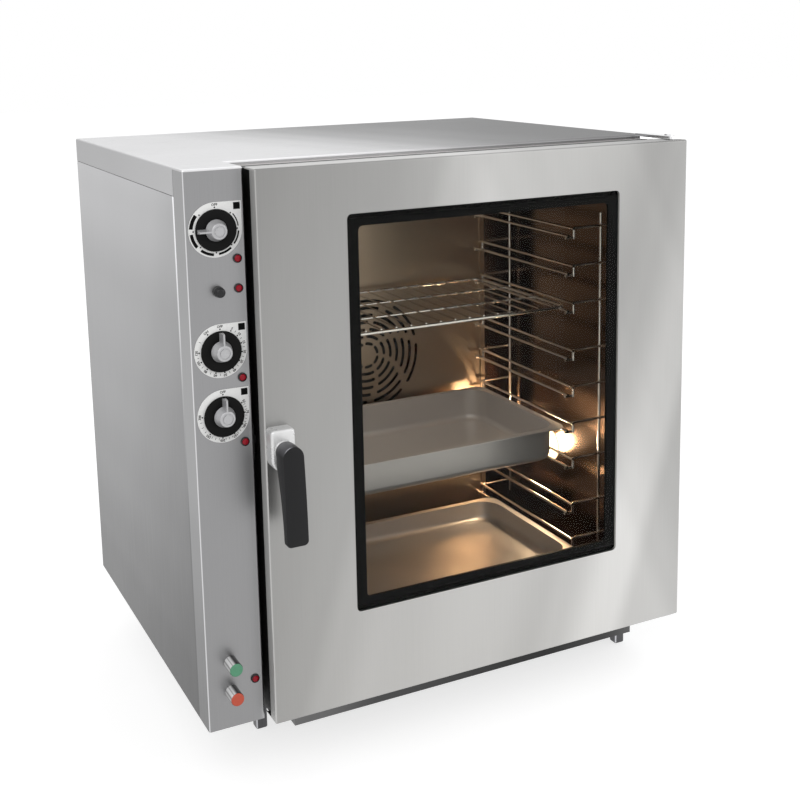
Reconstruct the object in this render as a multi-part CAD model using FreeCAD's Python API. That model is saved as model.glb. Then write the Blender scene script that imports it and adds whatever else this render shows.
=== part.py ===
import FreeCAD, Part
import math
import os

# A counter-top combi oven: a stainless case with a narrow control column on the left,
# a glazed door hung on the right, and a lined cavity with wire runners, a fan behind a
# slotted baffle, two pans and a wire shelf.
# Lengths are millimetres. The drawing frame has x to the right from the case's left side,
# y to the back from the control panel's face, and z up from the case's underside.
# Every piece is moved at the end so that the origin is the centre of the floor print.

V = FreeCAD.Vector
along_x = V(1, 0, 0)
along_y = V(0, 1, 0)
along_z = V(0, 0, 1)

# Case
body_width = 888.0
body_height = 880.0
body_depth = 706.0
sheet = 1.2
leg_height = 104.0
front_setback = 82.0
panel_width = 92.0
panel_return = 49.0
lid_skirt = 43.0
lid_nose = 3.4
seam = 0.8
bend = 3.0
bend_inner = bend - sheet

# Clearances
run_gap = 0.3
snug_gap = 0.1
pin_play = 0.05
hole_play = 0.4
cut_over = 4.0

# Door
door_gap = 7.0
door_overhang = 3.0
door_foot_gap = 1.5
door_head_gap = 2.5
door_proud = 30.0
door_depth = 75.0
skin_return = 43.0
latch_return = 21.0
frame_inset = 3.0
hinge_inset = 15.0
hinge_side_inset = 17.0

# Window, placed by the widths of the door's stiles and rails
left_stile = 145.0
right_stile = 142.0
bottom_rail = 155.0
top_rail = 78.0
window_corner = 8.0
border_width = 20.0
glass_thickness = 4.0

# Cavity, placed by the wool round it and the room behind it
divider_gap = 16.0
left_wool = 41.0
right_wool = 43.0
cavity_floor = 36.0
top_wool = 84.0
back_room = 134.0
land_step = 20.0
land_gap_left = 15.0
land_gap_right = 12.0
land_margin = 6.0
collar_depth = 33.0
baffle_room = 88.0
divider_room = 94.0

# Room that leaves the standard 530 x 325 mm of pans and shelf, and the runners that carry them
pan_side_room = 83.0
pan_depth_room = 165.0
wire_radius = 2.5
post_radius = 3.0
runner_inset = 6.0
runner_step = 16.0
runner_drop = 13.0
level_share = 7 / 60
wide_level_share = 9 / 60
lowest_level_rise = 62.0
highest_level_drop = 98.0
front_wire_gap = 56.0
rear_wire_gap = 102.0

# Values that several pieces follow
door_left = panel_width + door_gap
door_right = body_width + door_overhang
door_bottom = door_foot_gap
door_top = body_height - door_head_gap
door_front = -door_proud
door_back = door_front + door_depth
door_skin_back = door_front + sheet
hinge_x = door_right - hinge_inset
hinge_y = 2.0
window_left = door_left + left_stile
window_right = door_right - right_stile
window_bottom = door_bottom + bottom_rail
window_top = door_top - top_rail
divider_left = panel_width + divider_gap
divider_back = body_depth - divider_room
cavity_left = divider_left + left_wool
cavity_right = body_width - right_wool
cavity_ceiling = body_height - top_wool
cavity_back = body_depth - back_room
land_left = panel_width + land_gap_left
land_right = body_width - land_gap_right
land_bottom = land_margin
land_top = body_height - land_margin
baffle_front = cavity_back - baffle_room
lowest_level = cavity_floor + lowest_level_rise
level_span = cavity_ceiling - highest_level_drop - lowest_level
level_pitch = level_span * level_share
wide_pitch = level_span * wide_level_share
front_wire_y = front_setback + front_wire_gap
rear_wire_y = cavity_back - rear_wire_gap
land_front = front_setback - land_step
flange_front = front_setback + sheet
collar_back = land_front + collar_depth
lid_under = body_height - sheet
lid_fold = body_height - lid_nose
skirt_bottom = body_height - lid_skirt
cavity_mid_x = (cavity_left + cavity_right) / 2
pan_long = cavity_right - cavity_left - 2 * pan_side_room
pan_short = cavity_back - front_setback - pan_depth_room
cavity_mid_z = (cavity_floor + cavity_ceiling) / 2
frame_left = door_left + frame_inset
frame_right = door_right - hinge_side_inset
frame_bottom = door_bottom + frame_inset
frame_top = door_top - frame_inset


def block(x0, x1, y0, y1, z0, z1):
    """A box between two x, two y and two z planes."""
    return Part.makeBox(x1 - x0, y1 - y0, z1 - z0, V(x0, y0, z0))


def rod(radius, start, end):
    """A round bar between two points."""
    run = V(*end) - V(*start)
    return Part.makeCylinder(radius, run.Length, V(*start), run)


def rod_y(radius, x, z, y0, y1):
    """A round bar along y at one x and z."""
    return Part.makeCylinder(radius, y1 - y0, V(x, y0, z), along_y)


def rod_x(radius, y, z, x0, x1):
    """A round bar along x at one y and z."""
    return Part.makeCylinder(radius, x1 - x0, V(x0, y, z), along_x)


def rod_z(radius, x, y, z0, z1):
    """A round bar along z at one x and y."""
    return Part.makeCylinder(radius, z1 - z0, V(x, y, z0), along_z)


def tube_y(outer, inner, x, z, y0, y1):
    """A round tube along y."""
    bore = rod_y(inner, x, z, y0 - cut_over, y1 + cut_over)
    return rod_y(outer, x, z, y0, y1).cut(bore)


def edges_along(shape, direction):
    """The straight edges of a shape that run along a direction."""
    nearly = 0.999
    found = []
    for edge in shape.Edges:
        run = edge.Vertexes[-1].Point - edge.Vertexes[0].Point
        if run.Length > 0 and abs(run.dot(direction)) > nearly * run.Length:
            found.append(edge)
    return found


def rounded(shape, direction, radius):
    """A shape with its straight edges along a direction rounded."""
    return shape.makeFillet(radius, edges_along(shape, direction))


def at_plane(shape, low=(), high=()):
    """The edges of a shape that lie wholly in any of its outer faces, named by axis letters."""
    box = shape.BoundBox
    found = []
    for edge in shape.Edges:
        span = edge.BoundBox
        hits = [abs(getattr(span, axis + "Max") - getattr(box, axis + "Min")) < pin_play for axis in low]
        hits += [abs(getattr(span, axis + "Min") - getattr(box, axis + "Max")) < pin_play for axis in high]
        if any(hits):
            found.append(edge)
    return found


def round_plate_y(outline, y0, y1, radius):
    """A plate facing y with rounded corners, from its (x0, x1, z0, z1) outline."""
    x0, x1, z0, z1 = outline
    return rounded(block(x0, x1, y0, y1, z0, z1), along_y, radius)


def ring_y(outer, inner, y0, y1):
    """A rectangular ring facing y, from two (x0, x1, z0, z1) outlines."""
    body = block(outer[0], outer[1], y0, y1, outer[2], outer[3])
    hole = block(inner[0], inner[1], y0 - cut_over, y1 + cut_over, inner[2], inner[3])
    return body.cut(hole)


def grown(outline, margin):
    """An (x0, x1, z0, z1) outline moved outwards by a margin."""
    x0, x1, z0, z1 = outline
    return (x0 - margin, x1 + margin, z0 - margin, z1 + margin)


def joined(shapes):
    """Several overlapping or touching shapes as one."""
    whole = shapes[0].multiFuse(shapes[1:])
    return whole.removeSplitter()


def turned_y(shape, x, z, degrees):
    """A copy of a shape turned about the line along y through x and z."""
    copy = shape.copy()
    copy.rotate(V(x, 0, z), along_y, degrees)
    return copy


def mirrored_x(shape):
    """A shape mirrored about the cavity's middle."""
    return shape.mirror(V(cavity_mid_x, 0, 0), along_x)


window = (window_left, window_right, window_bottom, window_top)
cavity = (cavity_left, cavity_right, cavity_floor, cavity_ceiling)
land = (land_left, land_right, land_bottom, land_top)

# Controls on the panel, as centres
dial_x = panel_width / 2
humidity_drop = 91.0
timer_drop = 273.5
thermostat_drop = 374.0
humidity_z = body_height - humidity_drop
timer_z = body_height - timer_drop
thermostat_z = body_height - thermostat_drop
dial_heights = (humidity_z, timer_z, thermostat_z)
lamp_inset = 14.0
lamp_x = panel_width - lamp_inset
lamp_drops = (136.0, 181.0, 318.0, 419.0)
power_lamp_z = 72.0
lamp_heights = [body_height - drop for drop in lamp_drops] + [power_lamp_z]
reset_drop = 183.0
reset_z = body_height - reset_drop
button_inset = 53.0
button_x = panel_width - button_inset
green_z = 109.0
red_z = 60.0

# Small parts of the controls
dial_radius = 41.0
dial_plate = 1.2
knob_lift = 1.5
skirt_radius = 31.5
skirt_thickness = 3.2
hub_base_radius = 17.0
hub_front_radius = 11.0
hub_length = 15.0
pointer_reach = 29.0
pointer_width = 2.6
pointer_setback = 0.3
shaft_radius = 3.0
shaft_length = 22.0
lamp_bezel_radius = 7.0
lamp_bezel_depth = 3.0
lamp_lens_radius = 5.0
lamp_lens_rise = 4.5
lamp_tail_radius = 4.6
lamp_tail = 14.0
barrel_radius = 10.7
barrel_length = 28.0
barrel_wall = 1.0
barrel_tail_radius = 8.8
barrel_tail = 12.0
switch_half = 9.0
switch_depth = 24.0
cap_radius = 9.4
cap_depth = 8.0
cap_proud = 1.8
plunger_radius = 4.0
reset_barrel_radius = 8.6
reset_barrel_length = 8.0
reset_cap_radius = 7.9
reset_cap_proud = 8.0
button_travel = 3.0


def upright_bends(shape):
    """The two upright edges of a block at its front."""
    front = shape.BoundBox.YMin
    return [edge for edge in edges_along(shape, along_z) if abs(edge.BoundBox.YMax - front) < pin_play]


def control_panel():
    """A sheet folded back on both sides, less deep on the outer side."""
    outer = block(0, panel_width, 0, front_setback, 0, lid_fold)
    inner = block(sheet, panel_width - sheet, sheet, front_setback + cut_over, -cut_over, body_height)
    outer = outer.makeFillet(bend, upright_bends(outer))
    inner = inner.makeFillet(bend_inner, upright_bends(inner))
    behind = block(-cut_over, sheet + pin_play, panel_return, front_setback + cut_over,
                   -cut_over, body_height)
    panel = outer.cut([inner, behind])
    holes = []
    for z in dial_heights:
        holes.append(rod_y(shaft_radius + hole_play, dial_x, z, -cut_over, cut_over))
    for z in lamp_heights:
        holes.append(rod_y(lamp_tail_radius + hole_play, lamp_x, z, -cut_over, cut_over))
    for z in (green_z, red_z):
        holes.append(rod_y(barrel_tail_radius + snug_gap, button_x, z, -cut_over, cut_over))
    reset_tail = reset_cap_radius - barrel_wall
    holes.append(rod_y(reset_tail + snug_gap, dial_x, reset_z, -cut_over, cut_over))
    return panel.cut(holes)


def dial_plates():
    plates = []
    for z in dial_heights:
        disc = rod_y(dial_radius, dial_x, z, -dial_plate, 0)
        corner = block(dial_x, dial_x + dial_radius, -dial_plate, 0, z, z + dial_radius)
        bore = rod_y(shaft_radius + hole_play, dial_x, z, -cut_over, cut_over)
        plates.append(joined([disc, corner]).cut(bore))
    return Part.makeCompound(plates)


def knob_skirt(z):
    front = -dial_plate - knob_lift - skirt_thickness
    disc = rod_y(skirt_radius, dial_x, z, front, front + skirt_thickness)
    rim = [edge for edge in disc.Edges if abs(edge.BoundBox.YMax - front) < snug_gap]
    disc = disc.makeFillet(skirt_thickness / 3, rim)
    return disc.cut(rod_y(shaft_radius + snug_gap, dial_x, z, -cut_over - hub_length, cut_over))


def knob_hub(z, degrees):
    """The silver hub with its fin-shaped pointer and its shaft, pointer up before it is turned."""
    seat = -dial_plate - knob_lift - skirt_thickness
    front = seat - hub_length
    cone = Part.makeCone(hub_base_radius, hub_front_radius, hub_length, V(dial_x, seat, z), -along_y)
    shaft = rod_y(shaft_radius, dial_x, z, seat - hub_length / 2, seat + shaft_length)
    half = pointer_width / 2
    pointer = block(dial_x - half, dial_x + half, front + pointer_setback, seat, z, z + pointer_reach)
    return turned_y(joined([cone, shaft, pointer]), dial_x, z, degrees)


def indicator_bezels():
    bezels = []
    for z in lamp_heights:
        ring = tube_y(lamp_bezel_radius, lamp_lens_radius + snug_gap, lamp_x, z, -lamp_bezel_depth, 0)
        edge = [e for e in ring.Edges if abs(e.BoundBox.YMax + lamp_bezel_depth) < snug_gap]
        bezels.append(ring.makeChamfer(lamp_bezel_depth / 4, edge))
    return Part.makeCompound(bezels)


def indicator_lenses():
    lenses = []
    for z in lamp_heights:
        body = rod_y(lamp_lens_radius, lamp_x, z, -lamp_bezel_depth, 0)
        ball = Part.makeSphere(lamp_lens_radius, V(lamp_x, -lamp_bezel_depth, z))
        squash = FreeCAD.Matrix()
        squash.move(0, lamp_bezel_depth, 0)
        squash.scale(1, (lamp_lens_rise - lamp_bezel_depth) / lamp_lens_radius, 1)
        squash.move(0, -lamp_bezel_depth, 0)
        cap = ball.transformGeometry(squash)
        tail = rod_y(lamp_tail_radius, lamp_x, z, 0, lamp_tail)
        lenses.append(joined([body, cap, tail]))
    return Part.makeCompound(lenses)


def button_barrel(x, z, radius, length, bore, depth):
    """A barrel in front of the panel with a tail and a switch block behind it."""
    tail_radius = min(barrel_tail_radius, bore - barrel_wall)
    front = rod_y(radius, x, z, -length, 0)
    tail = rod_y(tail_radius, x, z, 0, sheet + barrel_tail)
    back = sheet + barrel_tail
    switch = block(x - switch_half, x + switch_half, back, back + switch_depth,
                   z - switch_half, z + switch_half)
    body = joined([front, tail, switch])
    well = rod_y(bore, x, z, -length - cut_over, depth - length)
    plunger_way = rod_y(plunger_radius + run_gap, x, z, -length, back + switch_depth / 2)
    return body.cut([well, plunger_way])


def button_barrels():
    well = cap_depth + button_travel + run_gap
    solids = [
        button_barrel(button_x, green_z, barrel_radius, barrel_length, barrel_radius - barrel_wall, well),
        button_barrel(button_x, red_z, barrel_radius, barrel_length, barrel_radius - barrel_wall, well),
        button_barrel(dial_x, reset_z, reset_barrel_radius, reset_barrel_length,
                      reset_cap_radius, button_travel + barrel_wall),
    ]
    return Part.makeCompound(solids)


def push_button(z):
    front = -barrel_length - cap_proud
    cap = rod_y(cap_radius, button_x, z, front, front + cap_depth)
    rim = [edge for edge in cap.Edges if abs(edge.BoundBox.YMax - front) < snug_gap]
    cap = cap.makeFillet(barrel_wall, rim)
    plunger = rod_y(plunger_radius, button_x, z, front + cap_depth / 2, sheet)
    return joined([cap, plunger])


def reset_button():
    front = -reset_barrel_length - reset_cap_proud
    radius = reset_cap_radius - run_gap
    cap = rod_y(radius, dial_x, reset_z, front, run_gap - reset_barrel_length)
    rim = [edge for edge in cap.Edges if abs(edge.BoundBox.YMax - front) < snug_gap]
    cap = cap.makeFillet(barrel_wall, rim)
    plunger = rod_y(plunger_radius, dial_x, reset_z, front + reset_cap_proud / 2, sheet)
    return joined([cap, plunger])


# Switch bodies behind the dials
regulator_side = 56.0
regulator_depth = 38.0
timer_side = 62.0
timer_depth = 52.0
thermostat_side = 50.0
thermostat_depth = 34.0


def dial_body(z, side, depth):
    half = side / 2
    body = block(dial_x - half, dial_x + half, sheet, sheet + depth, z - half, z + half)
    neck = rod_y(half / 2, dial_x, z, sheet + depth, sheet + depth + half / 2)
    way = rod_y(shaft_radius + run_gap, dial_x, z, -cut_over, shaft_length)
    return joined([body, neck]).cut(way)


# Case panels, divider and insulation
rear_hole_play = 0.5
louvre_count = 12
louvre_length = 90.0
louvre_height = 5.0
louvre_pitch = 16.0
louvre_drop = 320.0
louvre_left_x = 180.0
louvre_right_gap = 138.0
screw_radius = 2.0
screw_head_radius = 4.0
screw_head = 2.0
screw_length = 8.0
screw_edge = 14.0
screws_across = 5

# Services through the rear panel
inlet_inset = 32.0
inlet_x = panel_width - inlet_inset
inlet_z = 200.0
inlet_thread_radius = 13.2
inlet_thread = 18.0
inlet_nut_radius = 17.0
inlet_nut = 6.0
inlet_tail_radius = 9.0
inlet_tail = 16.0
drain_radius = 19.0
spigot_radius = 20.0
spigot_length = 40.0
drain_wall = 1.5
drain_room = 172.0
drain_y = cavity_back - drain_room
drain_z = -40.0
drain_flange_radius = 30.0
vent_radius = 25.0
vent_gap = 145.0
vent_drop = 56.0
vent_x = cavity_right - vent_gap
vent_z = cavity_ceiling - vent_drop
service_reach = 24.0
gland_z = 90.0
gland_radius = 16.0
gland_bore = 8.0
gland_neck_radius = 12.0
gland_nut = 7.0
rear_inner = body_depth - sheet
rear_end = body_depth + service_reach


def left_side_panel():
    return block(0, sheet, panel_return, body_depth, 0, skirt_bottom - seam)


def right_side_panel():
    return block(body_width - sheet, body_width, front_setback, body_depth, 0, skirt_bottom - seam)


def screw_places():
    """Screw centres round the rear panel, as (x, z)."""
    top = skirt_bottom - seam - screw_edge
    places = []
    for step in range(screws_across):
        x = screw_edge + step * (body_width - 2 * screw_edge) / (screws_across - 1)
        places.append((x, screw_edge))
        places.append((x, top))
    for x in (screw_edge, body_width - screw_edge):
        places.append((x, (screw_edge + top) / 2))
    return places


def rear_panel():
    top = skirt_bottom - seam
    panel = block(sheet, body_width - sheet, rear_inner, body_depth, sheet, top)
    holes = [
        rod_y(inlet_tail_radius + rear_hole_play, inlet_x, inlet_z, rear_inner - cut_over, rear_end),
        rod_y(gland_neck_radius + rear_hole_play, inlet_x, gland_z, rear_inner - cut_over, rear_end),
        rod_y(vent_radius + rear_hole_play, vent_x, vent_z, rear_inner - cut_over, rear_end),
    ]
    for x in (louvre_left_x, body_width - louvre_right_gap - louvre_length):
        for step in range(louvre_count):
            z = body_height - louvre_drop - step * louvre_pitch
            slot = block(x, x + louvre_length, rear_inner - cut_over, rear_end, z, z + louvre_height)
            holes.append(rounded(slot, along_y, louvre_height / 3))
    for x, z in screw_places():
        holes.append(rod_y(screw_radius + snug_gap, x, z, rear_inner - cut_over, rear_end))
    return panel.cut(holes)


def case_screws():
    screws = []
    for x, z in screw_places():
        head = rod_y(screw_head_radius, x, z, body_depth, body_depth + screw_head)
        shank = rod_y(screw_radius, x, z, body_depth - screw_length, body_depth)
        screws.append(joined([head, shank]))
    return Part.makeCompound(screws)


def lid_block(margin, radius, low):
    """The lid's solid form moved inwards by a margin, with its top edges and front corners bent."""
    top = body_height - margin
    column = block(margin, panel_width - margin, margin, body_depth - margin, low, top)
    column = column.makeFillet(radius, at_plane(column, high="Z") + upright_bends(column))
    main = block(panel_width / 2, body_width - margin, front_setback + margin, body_depth - margin,
                 low, top)
    folds = [edge for edge in at_plane(main, high="Z") if edge.BoundBox.XMax > panel_width]
    return column.fuse(main.makeFillet(radius, folds))


def top_lid():
    """The stepped lid: a sheet folded down all round, deeper at the sides and the back."""
    lid = lid_block(0, bend, skirt_bottom).cut(lid_block(sheet, bend_inner, skirt_bottom - cut_over))
    front = front_setback + sheet + pin_play
    column = block(-cut_over, panel_width + pin_play, -cut_over, panel_return + seam, 0, lid_fold)
    nose = block(sheet + pin_play, panel_width + pin_play, -cut_over, front_setback, 0, lid_fold)
    main = block(panel_width, body_width - sheet - pin_play, front_setback - cut_over, front, 0, land_top)
    return lid.cut([column, nose, main]).removeSplitter()


def bottom_panel():
    left = block(sheet, panel_width - sheet, bend, rear_inner, 0, sheet)
    main = block(panel_width - sheet, body_width - sheet, flange_front, rear_inner, 0, sheet)
    hole = rod_z(drain_radius + rear_hole_play, cavity_mid_x, drain_y, -cut_over, cut_over)
    return joined([left, main]).cut(hole)


channel_sheet = 1.5
channel_gap_left = 81.0
channel_gap_right = 20.0
channel_gap_back = 56.0
channel_left = panel_width + channel_gap_left
channel_right = body_width - channel_gap_right
channel_back = body_depth - channel_gap_back
channel_height = 80.0
leg_side = 20.5
leg_round = 8.0
left_leg_gap = 42.5
right_leg_gap = 35.5
left_leg_setback = 67.0
right_leg_setback = 21.0
rear_leg_gap = 76.0
front_left_leg = (panel_width + left_leg_gap, front_setback + left_leg_setback)
front_right_leg = (body_width - right_leg_gap, front_setback + right_leg_setback)
rear_leg_y = body_depth - rear_leg_gap


def base_channel():
    outer = block(channel_left, channel_right, front_setback, channel_back, -channel_height, 0)
    inner = block(channel_left + channel_sheet, channel_right - channel_sheet,
                  front_setback + channel_sheet, channel_back - channel_sheet,
                  -channel_height - cut_over, cut_over)
    way = rod_y(drain_radius + rear_hole_play, cavity_mid_x, drain_z, drain_y, rear_end)
    return outer.cut([inner, way])


def legs():
    posts = []
    rear = [(place[0], rear_leg_y) for place in (front_left_leg, front_right_leg)]
    places = [front_left_leg, front_right_leg] + rear
    half = leg_side / 2
    for x, y in places:
        post = block(x - half, x + half, y - half, y + half, -leg_height, 0)
        post = rounded(post, along_z, leg_round / 2)
        foot = [e for e in post.Edges if e.BoundBox.ZMax < cut_over - leg_height]
        posts.append(post.makeFillet(leg_round / 3, foot))
    return Part.makeCompound(posts)


def divider_wall():
    front = flange_front + bend
    return block(divider_left, divider_left + sheet, front, divider_back, sheet, lid_under)


def front_frame():
    tray = block(land_left, land_right, land_front, flange_front + sheet, land_bottom, land_top)
    hollow = block(land_left + sheet, land_right - sheet, land_front + sheet,
                   flange_front + cut_over, land_bottom + sheet, land_top - sheet)
    edge = (panel_width, body_width - sheet, sheet, body_height - bend)
    flange = ring_y(edge, land, flange_front, flange_front + sheet)
    collar = ring_y(grown(cavity, sheet), cavity, land_front, collar_back)
    opening = block(cavity_left, cavity_right, land_front - cut_over, collar_back + cut_over,
                    cavity_floor, cavity_ceiling)
    return joined([tray.cut(hollow), flange, collar]).cut(opening)


gasket_width = 14.0
gasket_corner = 9.0


def door_gasket():
    front = door_back + run_gap
    outer = round_plate_y(land, front, land_front, gasket_corner)
    inner = grown(land, -gasket_width)
    hole = round_plate_y(inner, front - cut_over, land_front + cut_over, gasket_corner)
    return outer.cut(hole)


# Fan, element and their holes in the cavity's back
fan_radius = 120.0
fan_gap = 67.0
fan_back_gap = 23.0
fan_front = cavity_back - fan_gap
fan_back = cavity_back - fan_back_gap
fan_disc = 2.0
fan_hub_radius = 18.0
fan_blades = 12
fan_blade_inner = 60.0
fan_blade = 1.5
fan_ring = 8.0
fan_shaft_radius = 7.0
shaft_hole_radius = 9.0
fan_side = 10.5
fan_lift = 12.0
fan_x = cavity_mid_x + fan_side
fan_z = cavity_mid_z + fan_lift
motor_gap = 68.0
motor_front = cavity_back + motor_gap
shaft_in_motor = 25.0
fan_shaft_end = motor_front + shaft_in_motor
motor_radius = 60.0
motor_back = rear_inner - cut_over
motor_plate_half = 75.0
motor_plate = 3.0
standoff_radius = 5.0
standoff_offset = 60.0
motor_bore_depth = 32.0
element_radius = 150.0
element_tube = 4.0
element_rings = 3
element_gap = 72.0
element_first_y = cavity_back - element_gap
element_pitch = 20.0
element_first_angle = 8.0
element_angle_step = 5.0
element_lead = 34.0
element_end = cavity_back + element_lead
pipe_radius = 4.0
pipe_side = 27.0
pipe_drop = 86.0
pipe_room = 76.0
pipe_x = fan_x - pipe_side
pipe_z = fan_z - pipe_drop
pipe_y = cavity_back + pipe_room
pipe_tip_gap = 10.0
lamp_setback = 244.0
lamp_rise = 195.0
lamp_centre_y = front_setback + lamp_setback
lamp_centre_z = cavity_floor + lamp_rise
lamp_glass_radius = 32.0
lamp_cup_depth = 34.0
lamp_rim_radius = 37.0
lamp_rim = 2.0
lamp_dome = 12.0
lamp_edge = 2.0


def element_angles():
    """For each ring its y and the half angle of its gap at the bottom."""
    rings = []
    for step in range(element_rings):
        angle = element_first_angle + step * element_angle_step
        rings.append((element_first_y + step * element_pitch, angle))
    return rings


def lead_places():
    """Where the element's ends pass the back wall, as (x, z)."""
    places = []
    for _, angle in element_angles():
        for side in (-1, 1):
            turn = math.radians(angle)
            x = fan_x + side * element_radius * math.sin(turn)
            places.append((x, fan_z - element_radius * math.cos(turn)))
    return places


def standoff_places():
    places = []
    for dx in (-standoff_offset, standoff_offset):
        for dz in (-standoff_offset, standoff_offset):
            places.append((fan_x + dx, fan_z + dz))
    return places


def back_holes(y0, y1, play):
    """Cutting bars for what passes the cavity's back."""
    bars = [
        rod_y(shaft_hole_radius + play, fan_x, fan_z, y0, y1),
        rod_y(vent_radius + play, vent_x, vent_z, y0, y1),
        rod_y(pipe_radius + play, pipe_x, pipe_z, y0, y1),
    ]
    for x, z in lead_places():
        bars.append(rod_y(element_tube + play, x, z, y0, y1))
    return bars


def cavity_shell():
    outer = block(cavity_left - sheet, cavity_right + sheet, collar_back, cavity_back + sheet,
                  cavity_floor - sheet, cavity_ceiling + sheet)
    inner = block(cavity_left, cavity_right, collar_back - cut_over, cavity_back,
                  cavity_floor, cavity_ceiling)
    drain = rod_z(drain_radius + hole_play, cavity_mid_x, drain_y,
                  cavity_floor - cut_over, cavity_floor + cut_over)
    lamp = rod_x(lamp_glass_radius + hole_play, lamp_centre_y, lamp_centre_z,
                 cavity_right - cut_over, cavity_right + cut_over)
    holes = [inner, drain, lamp] + back_holes(cavity_back - cut_over, cavity_back + cut_over, hole_play)
    return outer.cut(holes)


insulation_gap = 0.5
insulation_air = 39.6
wool_hole_play = 2.0


def insulation():
    front = collar_back
    back = cavity_back + sheet
    low = cavity_floor - sheet
    high = cavity_ceiling + sheet
    left_in = cavity_left - sheet - insulation_gap
    right_in = cavity_right + sheet + insulation_gap
    case_left = divider_left + sheet + insulation_gap
    case_right = body_width - sheet - insulation_gap
    left = block(case_left, left_in, front, back, low, high)
    right = block(right_in, case_right, front, back, low, high)
    lamp_way = rod_x(lamp_rim_radius + wool_hole_play, lamp_centre_y, lamp_centre_z,
                     right_in - cut_over, case_right + cut_over)
    top = block(case_left, case_right, front, back, high + insulation_gap, lid_under - insulation_air)
    floor = block(case_left, case_right, front, back, sheet + insulation_gap, low - insulation_gap)
    drain_way = rod_z(drain_radius + wool_hole_play, cavity_mid_x, drain_y, 0, low)
    wool_back = divider_back - sheet
    rear = block(left_in, right_in, back + insulation_gap, wool_back, low, high)
    ways = back_holes(back, divider_back, wool_hole_play)
    for x, z in standoff_places():
        ways.append(rod_y(standoff_radius + wool_hole_play, x, z, back, divider_back))
    return Part.makeCompound([left, right.cut(lamp_way), top, floor.cut(drain_way), rear.cut(ways)])


# Baffle in front of the fan
baffle_side_gap = 63.0
baffle_end_gap = 24.0
baffle_left = cavity_left + baffle_side_gap
baffle_bottom = cavity_floor + baffle_end_gap
baffle_top = cavity_ceiling - baffle_end_gap
baffle_hem = 10.0
baffle_hem_rise = 3.0
slot_rings = 7
slot_first_radius = 24.5
slot_ring_pitch = 14.7
slot_width = 6.4
slot_sectors = 7
slot_land_angle = 9.0
slot_first_angle = 7.0
slot_twist = 6.5


def at_baffle(radius, degrees):
    """A point in front of the baffle, at a radius and an angle clockwise from the fan's right."""
    angle = math.radians(degrees)
    return V(fan_x + radius * math.cos(angle), baffle_front - cut_over, fan_z - radius * math.sin(angle))


def baffle_slot(radius, start):
    """An arc slot with round ends, of one sector at a radius, from a starting angle."""
    half = slot_width / 2
    inner = radius - half
    outer = radius + half
    tip = math.degrees(half / radius)
    first = start + tip
    last = start + 360 / slot_sectors - slot_land_angle - tip
    middle = (first + last) / 2
    arcs = [
        Part.Arc(at_baffle(outer, first), at_baffle(outer, middle), at_baffle(outer, last)),
        Part.Arc(at_baffle(outer, last), at_baffle(radius, last + tip), at_baffle(inner, last)),
        Part.Arc(at_baffle(inner, last), at_baffle(inner, middle), at_baffle(inner, first)),
        Part.Arc(at_baffle(inner, first), at_baffle(radius, first - tip), at_baffle(outer, first)),
    ]
    outline = Part.Wire([arc.toShape() for arc in arcs])
    return Part.Face(outline).extrude(V(0, 2 * cut_over, 0))


def fan_baffle():
    right = 2 * cavity_mid_x - baffle_left
    plate = block(baffle_left, right, baffle_front, baffle_front + sheet, baffle_bottom, baffle_top)
    low = block(baffle_left, right, baffle_front, cavity_back, baffle_bottom, baffle_bottom + sheet)
    high = block(baffle_left, right, baffle_front, cavity_back, baffle_top - sheet, baffle_top)
    hem_front = baffle_front - baffle_hem_rise
    hems = []
    for x in (baffle_left, right - baffle_hem):
        hems.append(block(x, x + baffle_hem, hem_front, baffle_front + sheet, baffle_bottom, baffle_top))
    baffle = joined([plate, low, high] + hems)
    slots = []
    for ring in range(slot_rings):
        for sector in range(slot_sectors):
            start = slot_first_angle + ring * slot_twist + sector * 360 / slot_sectors
            slots.append(baffle_slot(slot_first_radius + ring * slot_ring_pitch, start))
    return baffle.cut(slots)


def fan_wheel():
    x = fan_x
    disc = rod_y(fan_radius, x, fan_z, fan_back, fan_back + fan_disc)
    hub = rod_y(fan_hub_radius, x, fan_z, fan_front, fan_back)
    ring = tube_y(fan_radius, fan_radius - fan_ring, x, fan_z, fan_front - fan_disc, fan_front)
    shaft = rod_y(fan_shaft_radius, x, fan_z, fan_back, fan_shaft_end)
    pieces = [disc, hub, ring, shaft]
    half = fan_blade / 2
    tip = x + fan_radius - fan_disc
    blade = block(x + fan_blade_inner, tip, fan_front, fan_back, fan_z - half, fan_z + half)
    for step in range(fan_blades):
        pieces.append(turned_y(blade, x, fan_z, step * 360 / fan_blades))
    return joined(pieces)


def fan_motor():
    x = fan_x
    body = rod_y(motor_radius, x, fan_z, motor_front, motor_back)
    rim = [edge for edge in body.Edges if abs(edge.BoundBox.YMin - motor_back) < snug_gap]
    body = body.makeFillet(motor_plate, rim)
    half = motor_plate_half
    plate = block(x - half, x + half, motor_front - motor_plate, motor_front, fan_z - half, fan_z + half)
    pieces = [body, plate]
    for px, pz in standoff_places():
        pieces.append(rod_y(standoff_radius, px, pz, cavity_back + sheet, motor_front))
    bore_back = motor_front + motor_bore_depth
    way = rod_y(fan_shaft_radius + pin_play, x, fan_z, motor_front - cut_over, bore_back)
    return joined(pieces).cut(way)


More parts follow.
